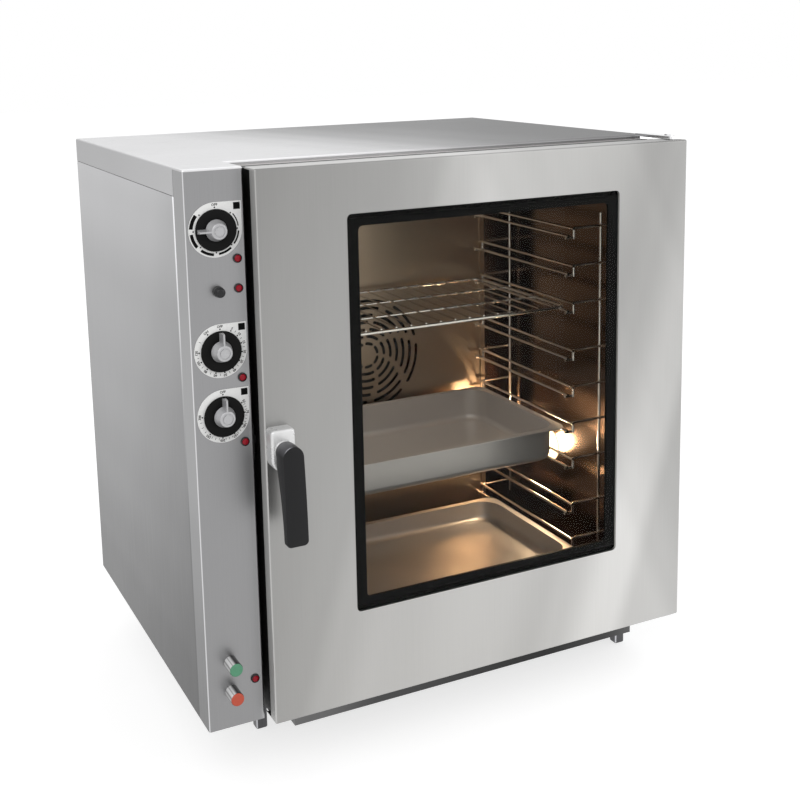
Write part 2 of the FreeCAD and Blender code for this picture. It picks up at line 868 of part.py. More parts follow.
def heating_element():
    """Open rings of sheathed tube round the fan, each with two leads out through the back."""
    rings = []
    low = fan_z - element_radius
    for y, angle in element_angles():
        sweep = 360 - 2 * angle
        section = Part.Face(Part.Wire(Part.makeCircle(element_tube, V(fan_x, y, low), along_x)))
        section = turned_y(section, fan_x, fan_z, angle)
        rings.append((section.revolve(V(fan_x, y, fan_z), along_y, sweep), y))
    places = lead_places()
    solids = []
    for step in range(element_rings):
        ring, y = rings[step]
        pieces = [ring]
        for x, z in places[2 * step:2 * step + 2]:
            pieces.append(Part.makeSphere(element_tube + pin_play, V(x, y, z)))
            pieces.append(rod_y(element_tube, x, z, y, element_end))
        solids.append(joined(pieces))
    return Part.makeCompound(solids)


def bent_rod(radius, points):
    """A round bar through points, with a ball at each bend."""
    pieces = []
    for start, end in zip(points[:-1], points[1:]):
        pieces.append(rod(radius, start, end))
    for point in points[1:-1]:
        pieces.append(Part.makeSphere(radius + pin_play, V(*point)))
    return joined(pieces)


valve_half = 18.0
valve_depth = 40.0
valve_coil_radius = 15.0
valve_coil = 30.0
valve_back = body_depth - inlet_tail


def water_inlet():
    tail = rod_y(inlet_tail_radius, inlet_x, inlet_z, valve_back, body_depth)
    nut = rod_y(inlet_nut_radius, inlet_x, inlet_z, body_depth, body_depth + inlet_nut)
    thread = rod_y(inlet_thread_radius, inlet_x, inlet_z, body_depth, body_depth + inlet_nut + inlet_thread)
    return joined([tail, nut, thread])


def solenoid_valve():
    front = valve_back - valve_depth
    body = block(inlet_x - valve_half, inlet_x + valve_half, front, valve_back,
                 inlet_z - valve_half, inlet_z + valve_half)
    mid_y = (front + valve_back) / 2
    coil_top = inlet_z - valve_half
    coil = rod_z(valve_coil_radius, inlet_x, mid_y, coil_top - valve_coil, coil_top)
    return joined([body, coil])


def steam_pipe():
    start_y = valve_back - valve_depth / 2
    tip = cavity_back - pipe_tip_gap
    route = [
        (inlet_x, start_y, inlet_z + valve_half),
        (inlet_x, start_y, pipe_z),
        (inlet_x, pipe_y, pipe_z),
        (pipe_x, pipe_y, pipe_z),
        (pipe_x, tip, pipe_z),
    ]
    return bent_rod(pipe_radius, route)


def drain_pipe():
    x = cavity_mid_x
    top = cavity_floor + sheet
    parts = []
    for radius, extra in ((drain_radius, 0), (drain_radius - drain_wall, cut_over)):
        down = rod(radius, (x, drain_y, top + extra), (x, drain_y, drain_z))
        elbow = Part.makeSphere(radius + pin_play, V(x, drain_y, drain_z))
        out = rod_y(radius, x, drain_z, drain_y, rear_end + extra)
        parts.append(joined([down, elbow, out]))
    flange = rod_z(drain_flange_radius, x, drain_y, cavity_floor, top)
    spigot = rod_y(spigot_radius, x, drain_z, rear_end - spigot_length, rear_end)
    return joined([parts[0], flange, spigot]).cut(parts[1])


def vent_pipe():
    bore = vent_radius - 2 * drain_wall
    pipe = tube_y(bore + drain_wall, bore, vent_x, vent_z, cavity_back - sheet, rear_end)
    spigot = tube_y(vent_radius, bore, vent_x, vent_z, body_depth, rear_end)
    return joined([pipe, spigot])


def cable_gland():
    neck = rod_y(gland_neck_radius, inlet_x, gland_z, rear_inner - gland_nut, body_depth)
    nut = rod_y(gland_radius, inlet_x, gland_z, rear_inner - gland_nut, rear_inner)
    body = rod_y(gland_radius, inlet_x, gland_z, body_depth, body_depth + service_reach / 2)
    dome = Part.makeCone(gland_radius, gland_neck_radius, service_reach / 2,
                         V(inlet_x, body_depth + service_reach / 2, gland_z), along_y)
    bore = rod_y(gland_bore, inlet_x, gland_z, rear_inner - 2 * gland_nut, rear_end + cut_over)
    return joined([neck, nut, body, dome]).cut(bore)


terminal_room = 206.0
terminal_front = body_depth - terminal_room
terminal_length = 90.0
terminal_low = 80.0
terminal_high = 125.0
terminal_thickness = 24.0
terminal_ways = 6
terminal_well = 5.0


def terminal_block():
    left = divider_left - terminal_thickness
    back = terminal_front + terminal_length
    body = block(left, divider_left, terminal_front, back, terminal_low, terminal_high)
    pitch = terminal_length / terminal_ways
    wells = []
    for step in range(terminal_ways):
        y = terminal_front + (step + 1 / 2) * pitch
        for z in (terminal_low + 2 * terminal_well, terminal_high - 2 * terminal_well):
            wells.append(rod(terminal_well, (left - cut_over, y, z), (left + terminal_well, y, z)))
    return body.cut(wells)


def lamp_housing():
    """A cup in the right wall's wool with a rim that clamps the glass against the wall."""
    wall = cavity_right + sheet
    end = wall + lamp_cup_depth
    cup = rod_x(lamp_glass_radius + lamp_rim, lamp_centre_y, lamp_centre_z, wall, end)
    hollow = rod_x(lamp_glass_radius, lamp_centre_y, lamp_centre_z, wall, end - lamp_rim)
    rim = rod_x(lamp_rim_radius, lamp_centre_y, lamp_centre_z, wall, wall + lamp_rim)
    return joined([cup, rim]).cut(hollow)


def lamp_lens():
    """A domed glass that fills the hole in the right wall."""
    radius = lamp_glass_radius - run_gap
    rise = lamp_dome - lamp_edge
    ball_radius = (radius ** 2 + rise ** 2) / (2 * rise)
    front = V(cavity_right - lamp_dome, lamp_centre_y, lamp_centre_z)
    plug = Part.makeCylinder(radius, lamp_dome + sheet + lamp_rim, front, along_x)
    ball = Part.makeSphere(ball_radius, front + V(ball_radius, 0, 0))
    return plug.common(ball)


# Runners
support_x = cavity_mid_x + pan_long / 2 - runner_inset
guide_x = support_x + runner_step
post_gap = 10.0
post_x = cavity_right - post_gap
weld = 0.6
wire_end = 6.0
foot_drop = 2 * wire_radius - weld
levels = 9
wide_after = (2, 6)


def level_height(number):
    """The height of a level's support wires, counted from one at the bottom."""
    wide_gaps = [gap for gap in wide_after if gap < number]
    return lowest_level + (number - 1) * level_pitch + len(wide_gaps) * (wide_pitch - level_pitch)


def support_wire(z):
    """A level's support wire with its two short feet, which are welded to the hooks."""
    foot_end = guide_x - wire_radius - run_gap
    start = (support_x, front_wire_y - wire_end, z)
    pieces = [rod(wire_radius, start, (support_x, rear_wire_y + wire_end, z))]
    for y in (front_wire_y, rear_wire_y):
        foot = (support_x - wire_radius, y, z - foot_drop)
        pieces.append(rod(wire_radius, foot, (foot_end, y, z - foot_drop)))
    return joined(pieces)


def rack_frame(heights):
    """Two posts with every level's guide wire and its two hooks, which hang down to the feet."""
    wall_end = cavity_right - run_gap
    pieces = []
    for z in heights:
        guide_z = z + runner_drop
        for y in (front_wire_y, rear_wire_y):
            route = [
                (wall_end, y, guide_z),
                (guide_x, y, guide_z),
                (guide_x, y, z - foot_drop - wire_radius),
            ]
            pieces.append(bent_rod(wire_radius, route))
        start = (guide_x - foot_drop, front_wire_y - wire_end, guide_z)
        pieces.append(rod(wire_radius, start, (guide_x - foot_drop, rear_wire_y + wire_end, guide_z)))
    reach = wire_radius + post_radius - weld
    low = heights[0] + runner_drop - level_pitch / 3
    high = heights[-1] + runner_drop + level_pitch / 3
    for y in (front_wire_y + reach, rear_wire_y - reach):
        pieces.append(rod(post_radius, (post_x, y, low), (post_x, y, high)))
    return joined(pieces)


def right_rack():
    heights = [level_height(number + 1) for number in range(levels)]
    return Part.makeCompound([rack_frame(heights)] + [support_wire(z) for z in heights])


shelf_level = 7
deep_level = 4
shallow_level = 1
shelf_setback = 60.0
deep_setback = 58.0
shallow_setback = 12.0
shelf_front = front_setback + shelf_setback
deep_front = front_setback + deep_setback
shallow_front = front_setback + shallow_setback
shelf_frame_radius = 3.0
shelf_bar_radius = 2.2
shelf_wire_radius = 1.5
shelf_wires = 17
shelf_crossbars = 2
shelf_corner = 18.0
pan_wall = 1.0
pan_rim = 12.5
pan_corner = 42.0
pan_rim_corner = 24.0
rim_thickness = 2.4
pan_foot_round = 14.0
deep_depth = 65.0
shallow_depth = 40.0
pan_left = cavity_mid_x - pan_long / 2
pan_right = cavity_mid_x + pan_long / 2


def rim_seat(level):
    """The height just above a level's support wire."""
    return level_height(level) + wire_radius + run_gap


def corner_arc(x, y, z, radius, start):
    """A quarter circle in a level plane, from a starting angle."""
    points = []
    for share in (0, 1 / 2, 1):
        turn = math.radians(start + 90 * share)
        points.append(V(x + radius * math.cos(turn), y + radius * math.sin(turn), z))
    return Part.Arc(*points).toShape()


def shelf_frame(x0, x1, y0, y1, z):
    """The shelf's outer rod, bent round four corners and closed on itself."""
    corner = shelf_corner
    path = Part.Wire([
        Part.makeLine(V(x0 + corner, y0, z), V(x1 - corner, y0, z)),
        corner_arc(x1 - corner, y0 + corner, z, corner, 270),
        Part.makeLine(V(x1, y0 + corner, z), V(x1, y1 - corner, z)),
        corner_arc(x1 - corner, y1 - corner, z, corner, 0),
        Part.makeLine(V(x1 - corner, y1, z), V(x0 + corner, y1, z)),
        corner_arc(x0 + corner, y1 - corner, z, corner, 90),
        Part.makeLine(V(x0, y1 - corner, z), V(x0, y0 + corner, z)),
        corner_arc(x0 + corner, y0 + corner, z, corner, 180),
    ])
    section = Part.Wire(Part.makeCircle(shelf_frame_radius, V(x0 + corner, y0, z), along_x))
    return path.makePipeShell([section], True, False)


def wire_shelf():
    radius = shelf_frame_radius
    z = rim_seat(shelf_level) + radius
    x0 = pan_left + radius
    x1 = pan_right - radius
    y0 = shelf_front + radius
    y1 = shelf_front + pan_short - radius
    pieces = [shelf_frame(x0, x1, y0, y1, z)]
    for step in range(shelf_crossbars):
        y = y0 + (step + 1) * (y1 - y0) / (shelf_crossbars + 1)
        pieces.append(rod(shelf_bar_radius, (x0, y, z), (x1, y, z)))
    top = z + radius + shelf_wire_radius - weld
    for step in range(shelf_wires):
        x = x0 + (step + 1) * (x1 - x0) / (shelf_wires + 1)
        pieces.append(rod(shelf_wire_radius, (x, y0, top), (x, y1, top)))
    return joined(pieces)


def pan_body(x0, x1, y0, y1, z0, z1, corner, foot):
    """A solid of a pan's outer or inner form, rounded at its corners and foot."""
    body = rounded(block(x0, x1, y0, y1, z0, z1), along_z, corner)
    base = [e for e in body.Edges if e.BoundBox.ZMax < z0 + pin_play]
    return body.makeFillet(foot, base)


def gastronorm_pan(level, front, depth):
    under = rim_seat(level)
    top = under + rim_thickness
    back = front + pan_short
    rim = rounded(block(pan_left, pan_right, front, back, under, top), along_z, pan_rim_corner)
    x0 = pan_left + pan_rim
    x1 = pan_right - pan_rim
    y0 = front + pan_rim
    y1 = back - pan_rim
    outer = pan_body(x0, x1, y0, y1, top - depth, under + pin_play, pan_corner, pan_foot_round)
    inner = pan_body(x0 + pan_wall, x1 - pan_wall, y0 + pan_wall, y1 - pan_wall, top - depth + pan_wall,
                     top + cut_over, pan_corner - pan_wall, pan_foot_round - pan_wall)
    return joined([rim, outer]).cut(inner)


# Door pieces
ledge_width = 14.0
ledge_depth = 9.0
inner_margin_x = 38.0
inner_margin_z = 20.0
inner_lip = 12.0
glass_lap = 6.5
hinge_block_depth = 26.0
hinge_block_half = 10.0
pin_radius = 5.0
skin_hole_radius = 6.0
handle_inset = 21.5
handle_rise = 15.0
handle_x = door_left + handle_inset
handle_z = body_height / 2 + handle_rise
spindle_radius = 6.0
spindle_hole_radius = 8.0


def folded_door():
    """The door's outer sheet, folded back on four sides, less deep beside the control column."""
    back = door_front + skin_return
    outer = block(door_left, door_right, door_front, back, door_bottom, door_top)
    inner = block(door_left + sheet, door_right - sheet, door_skin_back, back + cut_over,
                  door_bottom + sheet, door_top - sheet)
    outer = outer.makeFillet(bend, at_plane(outer, low="Y") + edges_along(outer, along_y))
    inner = inner.makeFillet(bend_inner, at_plane(inner, low="Y") + edges_along(inner, along_y))
    behind = block(door_left - cut_over, door_left + sheet + pin_play,
                   door_front + latch_return, back + cut_over, door_bottom + bend, door_top - bend)
    return outer.cut([inner, behind])


def door_skin():
    """The folded outer sheet, with a ledge round its window."""
    well = ring_y(grown(window, sheet), window, door_front, door_front + ledge_depth + sheet)
    ledge = ring_y(grown(window, sheet), grown(window, -ledge_width),
                   door_front + ledge_depth, door_front + ledge_depth + sheet)
    opening = round_plate_y(window, door_front - cut_over, door_skin_back + cut_over, window_corner)
    skin = joined([folded_door().cut(opening), well, ledge])
    pins = rod_z(skin_hole_radius, hinge_x, hinge_y, -cut_over, body_height + cut_over)
    spindle = rod_y(spindle_hole_radius, handle_x, handle_z,
                    door_front - cut_over, door_skin_back + cut_over)
    return skin.cut([pins, spindle])


def outer_glass():
    back = door_front + glass_thickness
    return round_plate_y(grown(window, -run_gap), door_front, back, window_corner)


def window_border():
    front = door_front + glass_thickness
    back = door_front + ledge_depth
    ring = round_plate_y(grown(window, -run_gap), front, back, window_corner)
    hole = round_plate_y(grown(window, -border_width), front - cut_over, back + cut_over, window_corner)
    return ring.cut(hole)


inner_window = (window_left - inner_margin_x, window_right + inner_margin_x,
                window_bottom - inner_margin_z, window_top + inner_margin_z / 2)
funnel_front = door_front + ledge_depth + sheet


def outline_wire(outline, y):
    x0, x1, z0, z1 = outline
    corners = [V(x0, y, z0), V(x1, y, z0), V(x1, y, z1), V(x0, y, z1), V(x0, y, z0)]
    return Part.makePolygon(corners)


def funnel(margin):
    """A solid that widens from the outer window's ledge to the inner glass."""
    near = outline_wire(grown(window, margin - ledge_width), funnel_front)
    far = outline_wire(grown(inner_window, margin + inner_lip), door_back)
    return Part.makeLoft([near, far], True, True)


def door_inner_frame():
    """The door's inner tray: side walls, a back with the inner window, and a funnel to the glass."""
    outer = block(frame_left, frame_right, door_skin_back, door_back, frame_bottom, frame_top)
    hollow = block(frame_left + sheet, frame_right - sheet, door_skin_back - cut_over,
                   door_back - sheet, frame_bottom + sheet, frame_top - sheet)
    tray = outer.cut(hollow)
    cone = funnel(sheet)
    throat = funnel(0)
    keep = block(frame_left, frame_right, funnel_front, door_back - sheet, frame_bottom, frame_top)
    duct = cone.cut(throat).common(keep)
    blocks = []
    for z in (frame_bottom, frame_top - hinge_block_depth):
        blocks.append(block(frame_right - 2 * sheet, hinge_x + hinge_block_half,
                            hinge_y - hinge_block_half, hinge_y + hinge_block_half,
                            z, z + hinge_block_depth))
    frame = joined([tray, duct] + blocks)
    opening = block(inner_window[0], inner_window[1], door_back - 2 * sheet, door_back + cut_over,
                    inner_window[2], inner_window[3])
    pins = rod_z(pin_radius + pin_play, hinge_x, hinge_y, -cut_over, body_height + cut_over)
    nose_slot = block(frame_left - cut_over, frame_left + cut_over,
                      latch_front - hole_play, latch_back + hole_play,
                      handle_z - latch_sweep, handle_z + latch_radius)
    return frame.cut([opening, pins, nose_slot])


def inner_glass():
    back = door_back - sheet
    front = back - glass_thickness
    seat = grown(inner_window, glass_lap)
    return block(seat[0], seat[1], front, back, seat[2], seat[3])


# Handle and latch
base_width = 39.0
base_drop = 34.0
base_rise = 32.0
base_depth = 23.0
base_corner = 6.0
base_round = 4.0
boss_radius = 15.0
boss_front_radius = 14.5
boss_depth = 4.0
neck_radius = 14.0
handle_reach = 69.0
grip_head_radius = 16.5
grip_foot_half = 17.5
grip_head_depth = 30.0
grip_foot_depth = 12.5
grip_waist = 5.0
grip_edge = 2.0
grip_foot_round = 7.0
grip_socket = 12.0
grip_lean = 7.0
grip_drop = 136.0
collar_gap = 2.0
latch_front = 18.0
latch_back = 25.0
latch_radius = 13.0
latch_half = 6.0
latch_tip_gap = 2.5
latch_sweep = 24.0
strike_thickness = 3.0
strike_half = 30.0
strike_front = 6.0
strike_back = 44.0
base_front = door_front - base_depth
boss_front = base_front - boss_depth
handle_front = door_front - handle_reach
grip_top = handle_z + grip_head_radius
grip_foot = handle_z - grip_drop
grip_back = handle_front + grip_lean + grip_head_depth
socket_front = grip_back - grip_socket


def handle_base():
    """The cast rose on the door's face that the lever turns in: square above, round below."""
    half = base_width / 2
    low = handle_z - base_drop
    body = block(handle_x - half, handle_x + half, base_front, door_front, low, handle_z + base_rise)
    foot = [e for e in edges_along(body, along_y) if e.BoundBox.ZMax < handle_z]
    body = body.makeFillet(half - pin_play, foot)
    head = [e for e in edges_along(body, along_y) if e.BoundBox.ZMin > handle_z]
    body = body.makeFillet(base_corner, head)
    body = body.makeFillet(base_round, at_plane(body, low="Y"))
    boss = Part.makeCone(boss_radius, boss_front_radius, boss_depth,
                         V(handle_x, base_front, handle_z), -along_y)
    bore = rod_y(spindle_radius + run_gap, handle_x, handle_z, boss_front - cut_over, door_front + cut_over)
    return joined([body, boss]).cut(bore)


def grip_outline():
    """The grip's outline seen from the front: an arched head on a bar that widens to its foot."""
    drop = handle_z - grip_foot
    turn = math.asin((grip_foot_half - grip_head_radius) / drop)
    side = grip_head_radius * math.cos(turn)
    shoulder = handle_z + grip_head_radius * math.sin(turn)
    foot = (grip_head_radius + drop * math.sin(turn)) / math.cos(turn)
    left_top = V(handle_x - side, handle_front, shoulder)
    right_top = V(handle_x + side, handle_front, shoulder)
    left_foot = V(handle_x - foot, handle_front, grip_foot)
    right_foot = V(handle_x + foot, handle_front, grip_foot)
    arch = Part.Arc(left_top, V(handle_x, handle_front, grip_top), right_top).toShape()
    sides = [Part.makeLine(right_top, right_foot), Part.makeLine(right_foot, left_foot),
             Part.makeLine(left_foot, left_top)]
    return Part.Face(Part.Wire([arch] + sides))


def grip_curve():
    """The grip's front: a large cylinder along x that is upright at the grip's foot."""
    rise = grip_top - grip_foot
    radius = (grip_lean ** 2 + rise ** 2) / (2 * grip_lean)
    start = V(handle_x - base_width, handle_front + radius, grip_foot)
    return Part.makeCylinder(radius, 2 * base_width, start, along_x)


def grip_relief():
    """What is taken off the grip's back below its head, so that it gets thinner to its foot."""
    x = handle_x - base_width
    shoulder = V(x, grip_back, handle_z - grip_head_radius)
    foot = V(x, handle_front + grip_foot_depth, grip_foot - cut_over)
    waist = (shoulder + foot) / 2 + V(0, -grip_waist, 0)
    behind = grip_back + cut_over
    edges = [
        Part.Arc(shoulder, waist, foot).toShape(),
        Part.makeLine(foot, V(x, behind, foot.z)),
        Part.makeLine(V(x, behind, foot.z), V(x, behind, shoulder.z)),
        Part.makeLine(V(x, behind, shoulder.z), shoulder),
    ]
    return Part.Face(Part.Wire(edges)).extrude(V(2 * base_width, 0, 0))


def handle_grip():
    """A black bar with a curved front and an arched, deep head, and the collar that takes the neck."""
    bar = grip_outline().extrude(V(0, grip_back - handle_front, 0))
    feet = [e for e in edges_along(bar, along_y) if e.BoundBox.ZMax < grip_foot + pin_play]
    bar = bar.makeFillet(grip_foot_round, feet)
    bar = bar.common(grip_curve()).cut(grip_relief())
    front = max(bar.Faces, key=lambda face: face.Area)
    bar = bar.makeFillet(grip_edge, front.Edges)
    collar = rod_y(grip_head_radius, handle_x, handle_z, socket_front, boss_front - collar_gap)
    neck_way = rod_y(neck_radius + pin_play, handle_x, handle_z, socket_front + grip_edge, door_front)
    return joined([bar, collar]).cut(neck_way)


def handle_lever():
    """The chromed neck and the spindle that runs through the door to the latch."""
    neck = rod_y(neck_radius, handle_x, handle_z, socket_front + grip_edge, boss_front - run_gap)
    spindle = rod_y(spindle_radius, handle_x, handle_z, boss_front - run_gap, latch_back)
    return joined([neck, spindle])


def latch_cam():
    """The latch's nose, which points to the control column at rest and down when the handle is up."""
    hub = rod_y(latch_radius, handle_x, handle_z, latch_front, latch_back)
    tip = door_left - latch_tip_gap
    nose = block(tip, handle_x, latch_front, latch_back, handle_z - latch_half, handle_z + latch_half)
    bore = rod_y(spindle_radius + pin_play, handle_x, handle_z,
                 latch_front - cut_over, latch_back + cut_over)
    return joined([hub, nose]).cut(bore)


def door_strike():
    """The striker plate on the control column's inner side."""
    plate = block(panel_width, panel_width + strike_thickness, strike_front, strike_back,
                  handle_z - strike_half, handle_z + strike_half)
    holes = []
    for side in (-1, 1):
        z = handle_z + side * (strike_half - 2 * screw_head_radius)
        y = (strike_front + strike_back) / 2
        holes.append(rod(screw_radius, (panel_width - cut_over, y, z), (panel_width + 2 * cut_over, y, z)))
    return rounded(plate, along_x, strike_thickness).cut(holes)


# Hinge
bracket_plate = 5.0
bracket_gap = 1.0
bracket_width = 26.0
bracket_nose = 22.0
bracket_foot = 18.0
pin_depth = 24.0
pin_head = 2.5
pin_head_radius = 8.0


def hinge_bracket(high):
    """A bracket over or under the door's hinge corner, seated on the land and the case's front."""
    right = body_width
    left = right - bracket_width
    front = hinge_y - bracket_nose
    if high:
        low_z = door_top + bracket_gap
        plate = block(left, right, front, front_setback, low_z, low_z + bracket_plate)
        foot = block(left, right, front_setback - bracket_foot, front_setback, land_top, low_z)
    else:
        top_z = door_bottom - bracket_gap
        plate = block(left, right, front, front_setback, top_z - bracket_plate, top_z)
        foot = block(left, right, front_setback - bracket_foot, front_setback, top_z, land_bottom)
    body = rounded(plate, along_z, bracket_nose / 4)
    bore = rod_z(pin_radius + snug_gap, hinge_x, hinge_y, -2 * cut_over, body_height + 2 * cut_over)
    return joined([body, foot]).cut(bore)


def hinge_brackets():
    return Part.makeCompound([hinge_bracket(True), hinge_bracket(False)])


def hinge_pins():
    top_plate = door_top + bracket_gap + bracket_plate
    low_plate = door_bottom - bracket_gap - bracket_plate
    top = rod_z(pin_radius, hinge_x, hinge_y, door_top - pin_depth, top_plate)
    top_head = rod_z(pin_head_radius, hinge_x, hinge_y, top_plate, top_plate + pin_head)
    low = rod_z(pin_radius, hinge_x, hinge_y, low_plate, door_bottom + pin_depth)
    low_head = rod_z(pin_head_radius, hinge_x, hinge_y, low_plate - pin_head, low_plate)
    return Part.makeCompound([joined([top, top_head]), joined([low, low_head])])


def all_pieces():
    """Every node's name with its shape, in the drawing frame."""
    rack = right_rack()
    return {
        "left_side_panel": left_side_panel(),
        "right_side_panel": right_side_panel(),
        "rear_panel": rear_panel(),
        "top_lid": top_lid(),
        "bottom_panel": bottom_panel(),
        "base_channel": base_channel(),
        "legs": legs(),
        "control_panel": control_panel(),
        "divider_wall": divider_wall(),
        "front_frame": front_frame(),
        "cavity_shell": cavity_shell(),
        "insulation": insulation(),
        "door_gasket": door_gasket(),
        "fan_baffle": fan_baffle(),
        "fan_motor": fan_motor(),
        "fan_wheel": fan_wheel(),
        "heating_element": heating_element(),
        "steam_pipe": steam_pipe(),
        "solenoid_valve": solenoid_valve(),
        "water_inlet": water_inlet(),
        "drain_pipe": drain_pipe(),
        "vent_pipe": vent_pipe(),
        "cable_gland": cable_gland(),
        "terminal_block": terminal_block(),
        "lamp_housing": lamp_housing(),
        "lamp_lens": lamp_lens(),
        "right_rack": rack,
        "left_rack": mirrored_x(rack),
        "wire_shelf": wire_shelf(),
        "deep_pan": gastronorm_pan(deep_level, deep_front, deep_depth),
        "shallow_pan": gastronorm_pan(shallow_level, shallow_front, shallow_depth),
        "dial_plates": dial_plates(),
        "indicator_bezels": indicator_bezels(),
        "indicator_lenses": indicator_lenses(),
        "button_barrels": button_barrels(),
        "humidity_regulator": dial_body(humidity_z, regulator_side, regulator_depth),
        "timer_body": dial_body(timer_z, timer_side, timer_depth),
        "thermostat_body": dial_body(thermostat_z, thermostat_side, thermostat_depth),
        "humidity_knob_skirt": knob_skirt(humidity_z),
        "humidity_knob_hub": knob_hub(humidity_z, -90),
        "timer_knob_skirt": knob_skirt(timer_z),
        "timer_knob_hub": knob_hub(timer_z, 0),
        "thermostat_knob_skirt": knob_skirt(thermostat_z),
        "thermostat_knob_hub": knob_hub(thermostat_z, 0),
        "green_button": push_button(green_z),
        "red_button": push_button(red_z),
        "reset_button": reset_button(),
        "door_skin": door_skin(),
        "door_inner_frame": door_inner_frame(),
        "outer_glass": outer_glass(),
        "inner_glass": inner_glass(),
        "window_border": window_border(),
        "handle_base": handle_base(),
        "handle_lever": handle_lever(),
        "handle_grip": handle_grip(),
        "latch_cam": latch_cam(),
        "door_strike": door_strike(),
        "hinge_brackets": hinge_brackets(),
        "hinge_pins": hinge_pins(),
        "case_screws": case_screws(),
    }


def main():
    os.makedirs("parts", exist_ok=True)
    shift = V(-door_right / 2, -(handle_front + rear_end) / 2, leg_height)
    for name, shape in all_pieces().items():
        placed = shape.copy()
        placed.translate(shift)
        placed.exportStep("parts/" + name + ".step")
        box = placed.BoundBox
        print(name, placed.isValid(), len(placed.Solids), round(placed.Volume),
              [round(v, 1) for v in (box.XMin, box.XMax, box.YMin, box.YMax, box.ZMin, box.ZMax)])
    print("moved by", [round(v, 3) for v in shift])


main()
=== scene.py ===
# %% [markdown]
# # A combi oven, dressed
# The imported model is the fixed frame: every sheet, wire, pin and knob already has its true place in metres.
# This script gives each piece its finish, models again by hand the small pieces whose soft edges catch the
# light, and sets up the studio. Each step says first what the real thing is, and why it is made this way here.

# %% Load the frame
import math

import bmesh
import bpy
from mathutils import Matrix, Vector


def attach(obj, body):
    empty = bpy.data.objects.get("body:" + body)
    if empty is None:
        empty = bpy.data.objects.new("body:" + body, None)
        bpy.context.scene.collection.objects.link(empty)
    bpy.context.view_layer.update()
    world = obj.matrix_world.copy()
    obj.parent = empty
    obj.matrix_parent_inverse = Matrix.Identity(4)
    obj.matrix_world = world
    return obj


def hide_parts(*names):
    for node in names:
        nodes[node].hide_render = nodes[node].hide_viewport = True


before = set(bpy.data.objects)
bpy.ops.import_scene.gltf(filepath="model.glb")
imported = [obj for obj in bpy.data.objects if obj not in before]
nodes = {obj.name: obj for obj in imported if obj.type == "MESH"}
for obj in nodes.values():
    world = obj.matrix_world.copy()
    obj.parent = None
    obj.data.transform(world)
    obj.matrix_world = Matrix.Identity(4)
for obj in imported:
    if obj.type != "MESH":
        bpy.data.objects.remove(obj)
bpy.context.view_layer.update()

# %% [markdown]
# Sizes are written in millimetres, measured from the case's left side, the control panel's face and the case's
# underside, as a maker would. One shift turns such a place into the frame, whose origin is on the floor.

# %% Places on the case
mm = 0.001
case_shift = Vector((-445.5, -315.5, 104.0))


def at(x, y, z):
    """A place on the case, in the frame's metres."""
    return (Vector((x, y, z)) + case_shift) * mm


def on_case(place):
    """The other way: a place in metres as millimetres on the case."""
    return place / mm - case_shift


print("case corner", at(0, 0, 0))

# %% [markdown]
# ## Finishes
# Stainless sheet is ground with long belts, so it has fine lines along one direction. A noise texture that is
# stretched along that direction gives the lines. The same noise moves the colour, the roughness and the bump a
# little, because a real scratch changes all three. Object coordinates keep the pattern fixed to the metal.
# Two helpers keep the node code short: an input is filled with a number, a colour or another node's output.

# %% Start a material


def fill(tree, made, inputs):
    """Gives a node's inputs, by name or number, a value or a link."""
    for where, value in inputs.items():
        if isinstance(value, bpy.types.NodeSocket):
            tree.links.new(value, made.inputs[where])
        else:
            made.inputs[where].default_value = value


def node(tree, kind, operation=None, inputs=None):
    """A new shader node, with its operation and its inputs."""
    made = tree.nodes.new("ShaderNode" + kind)
    if operation:
        made.operation = operation
    fill(tree, made, inputs or {})
    return made


def finish_start(name):
    """A new material with its node tree and its shader."""
    made = bpy.data.materials.new(name)
    made.use_nodes = True
    return made, made.node_tree, made.node_tree.nodes["Principled BSDF"]


# %% Noise, stretched to taste


def noise_along(tree, scale, detail=3.0, roughness=0.55):
    """A noise texture on Object coordinates, with its own scale for each direction."""
    place = node(tree, "TexCoord").outputs["Object"]
    stretched = node(tree, "Mapping", inputs={"Vector": place, "Scale": scale}).outputs["Vector"]
    settings = {"Vector": stretched, "Scale": 1.0, "Detail": detail, "Roughness": roughness}
    return node(tree, "TexNoise", inputs=settings).outputs["Fac"]


# %% Numbers and colours from that noise
noise_reach = (0.3, 0.7)


def spread(tree, value, start, end, low, high):
    """A number moved from one range to another, and kept inside it."""
    reach = {"Value": value, "From Min": start, "From Max": end, "To Min": low, "To Max": high}
    return node(tree, "MapRange", inputs=reach).outputs["Result"]


def between(tree, noise, low, high):
    """Noise, which keeps near its middle, spread over a new range."""
    return spread(tree, noise, *noise_reach, low, high)


def colours_by(tree, value, dark, light):
    """A colour between two, chosen by a number."""
    ramp = node(tree, "ValToRGB", inputs={"Fac": value})
    ramp.color_ramp.elements[0].color = (*dark, 1)
    ramp.color_ramp.elements[1].color = (*light, 1)
    return ramp.outputs["Color"]


def relief(tree, shader, height, strength, depth):
    """Turns a number into small relief on the surface."""
    bump = node(tree, "Bump", inputs={"Height": height, "Strength": strength, "Distance": depth})
    tree.links.new(bump.outputs["Normal"], shader.inputs["Normal"])


def tinted(colour, factor):
    """A colour made darker or lighter."""
    return tuple(min(1.0, part * factor) for part in colour)


# %% [markdown]
# A large sheet never has one tone: it mirrors a room that is lighter in one place than in another. Here that
# reflected light and shade is painted into the colour: a slow change of tone along an axis of the sheet, with a
# few stops, gives it calmly, and it stays on the metal when the camera moves.

# %% Slow changes of tone, for painted light and shade


def mixed(tree, blend, factor, first, second):
    """Two colours mixed by a factor."""
    mix = node(tree, "Mix")
    mix.data_type = "RGBA"
    mix.blend_type = blend
    fill(tree, mix, {"Factor": factor, 6: first, 7: second})
    return mix.outputs[2]


def multiplied(tree, first, second):
    """Two colours multiplied."""
    return mixed(tree, "MULTIPLY", 1.0, first, second)


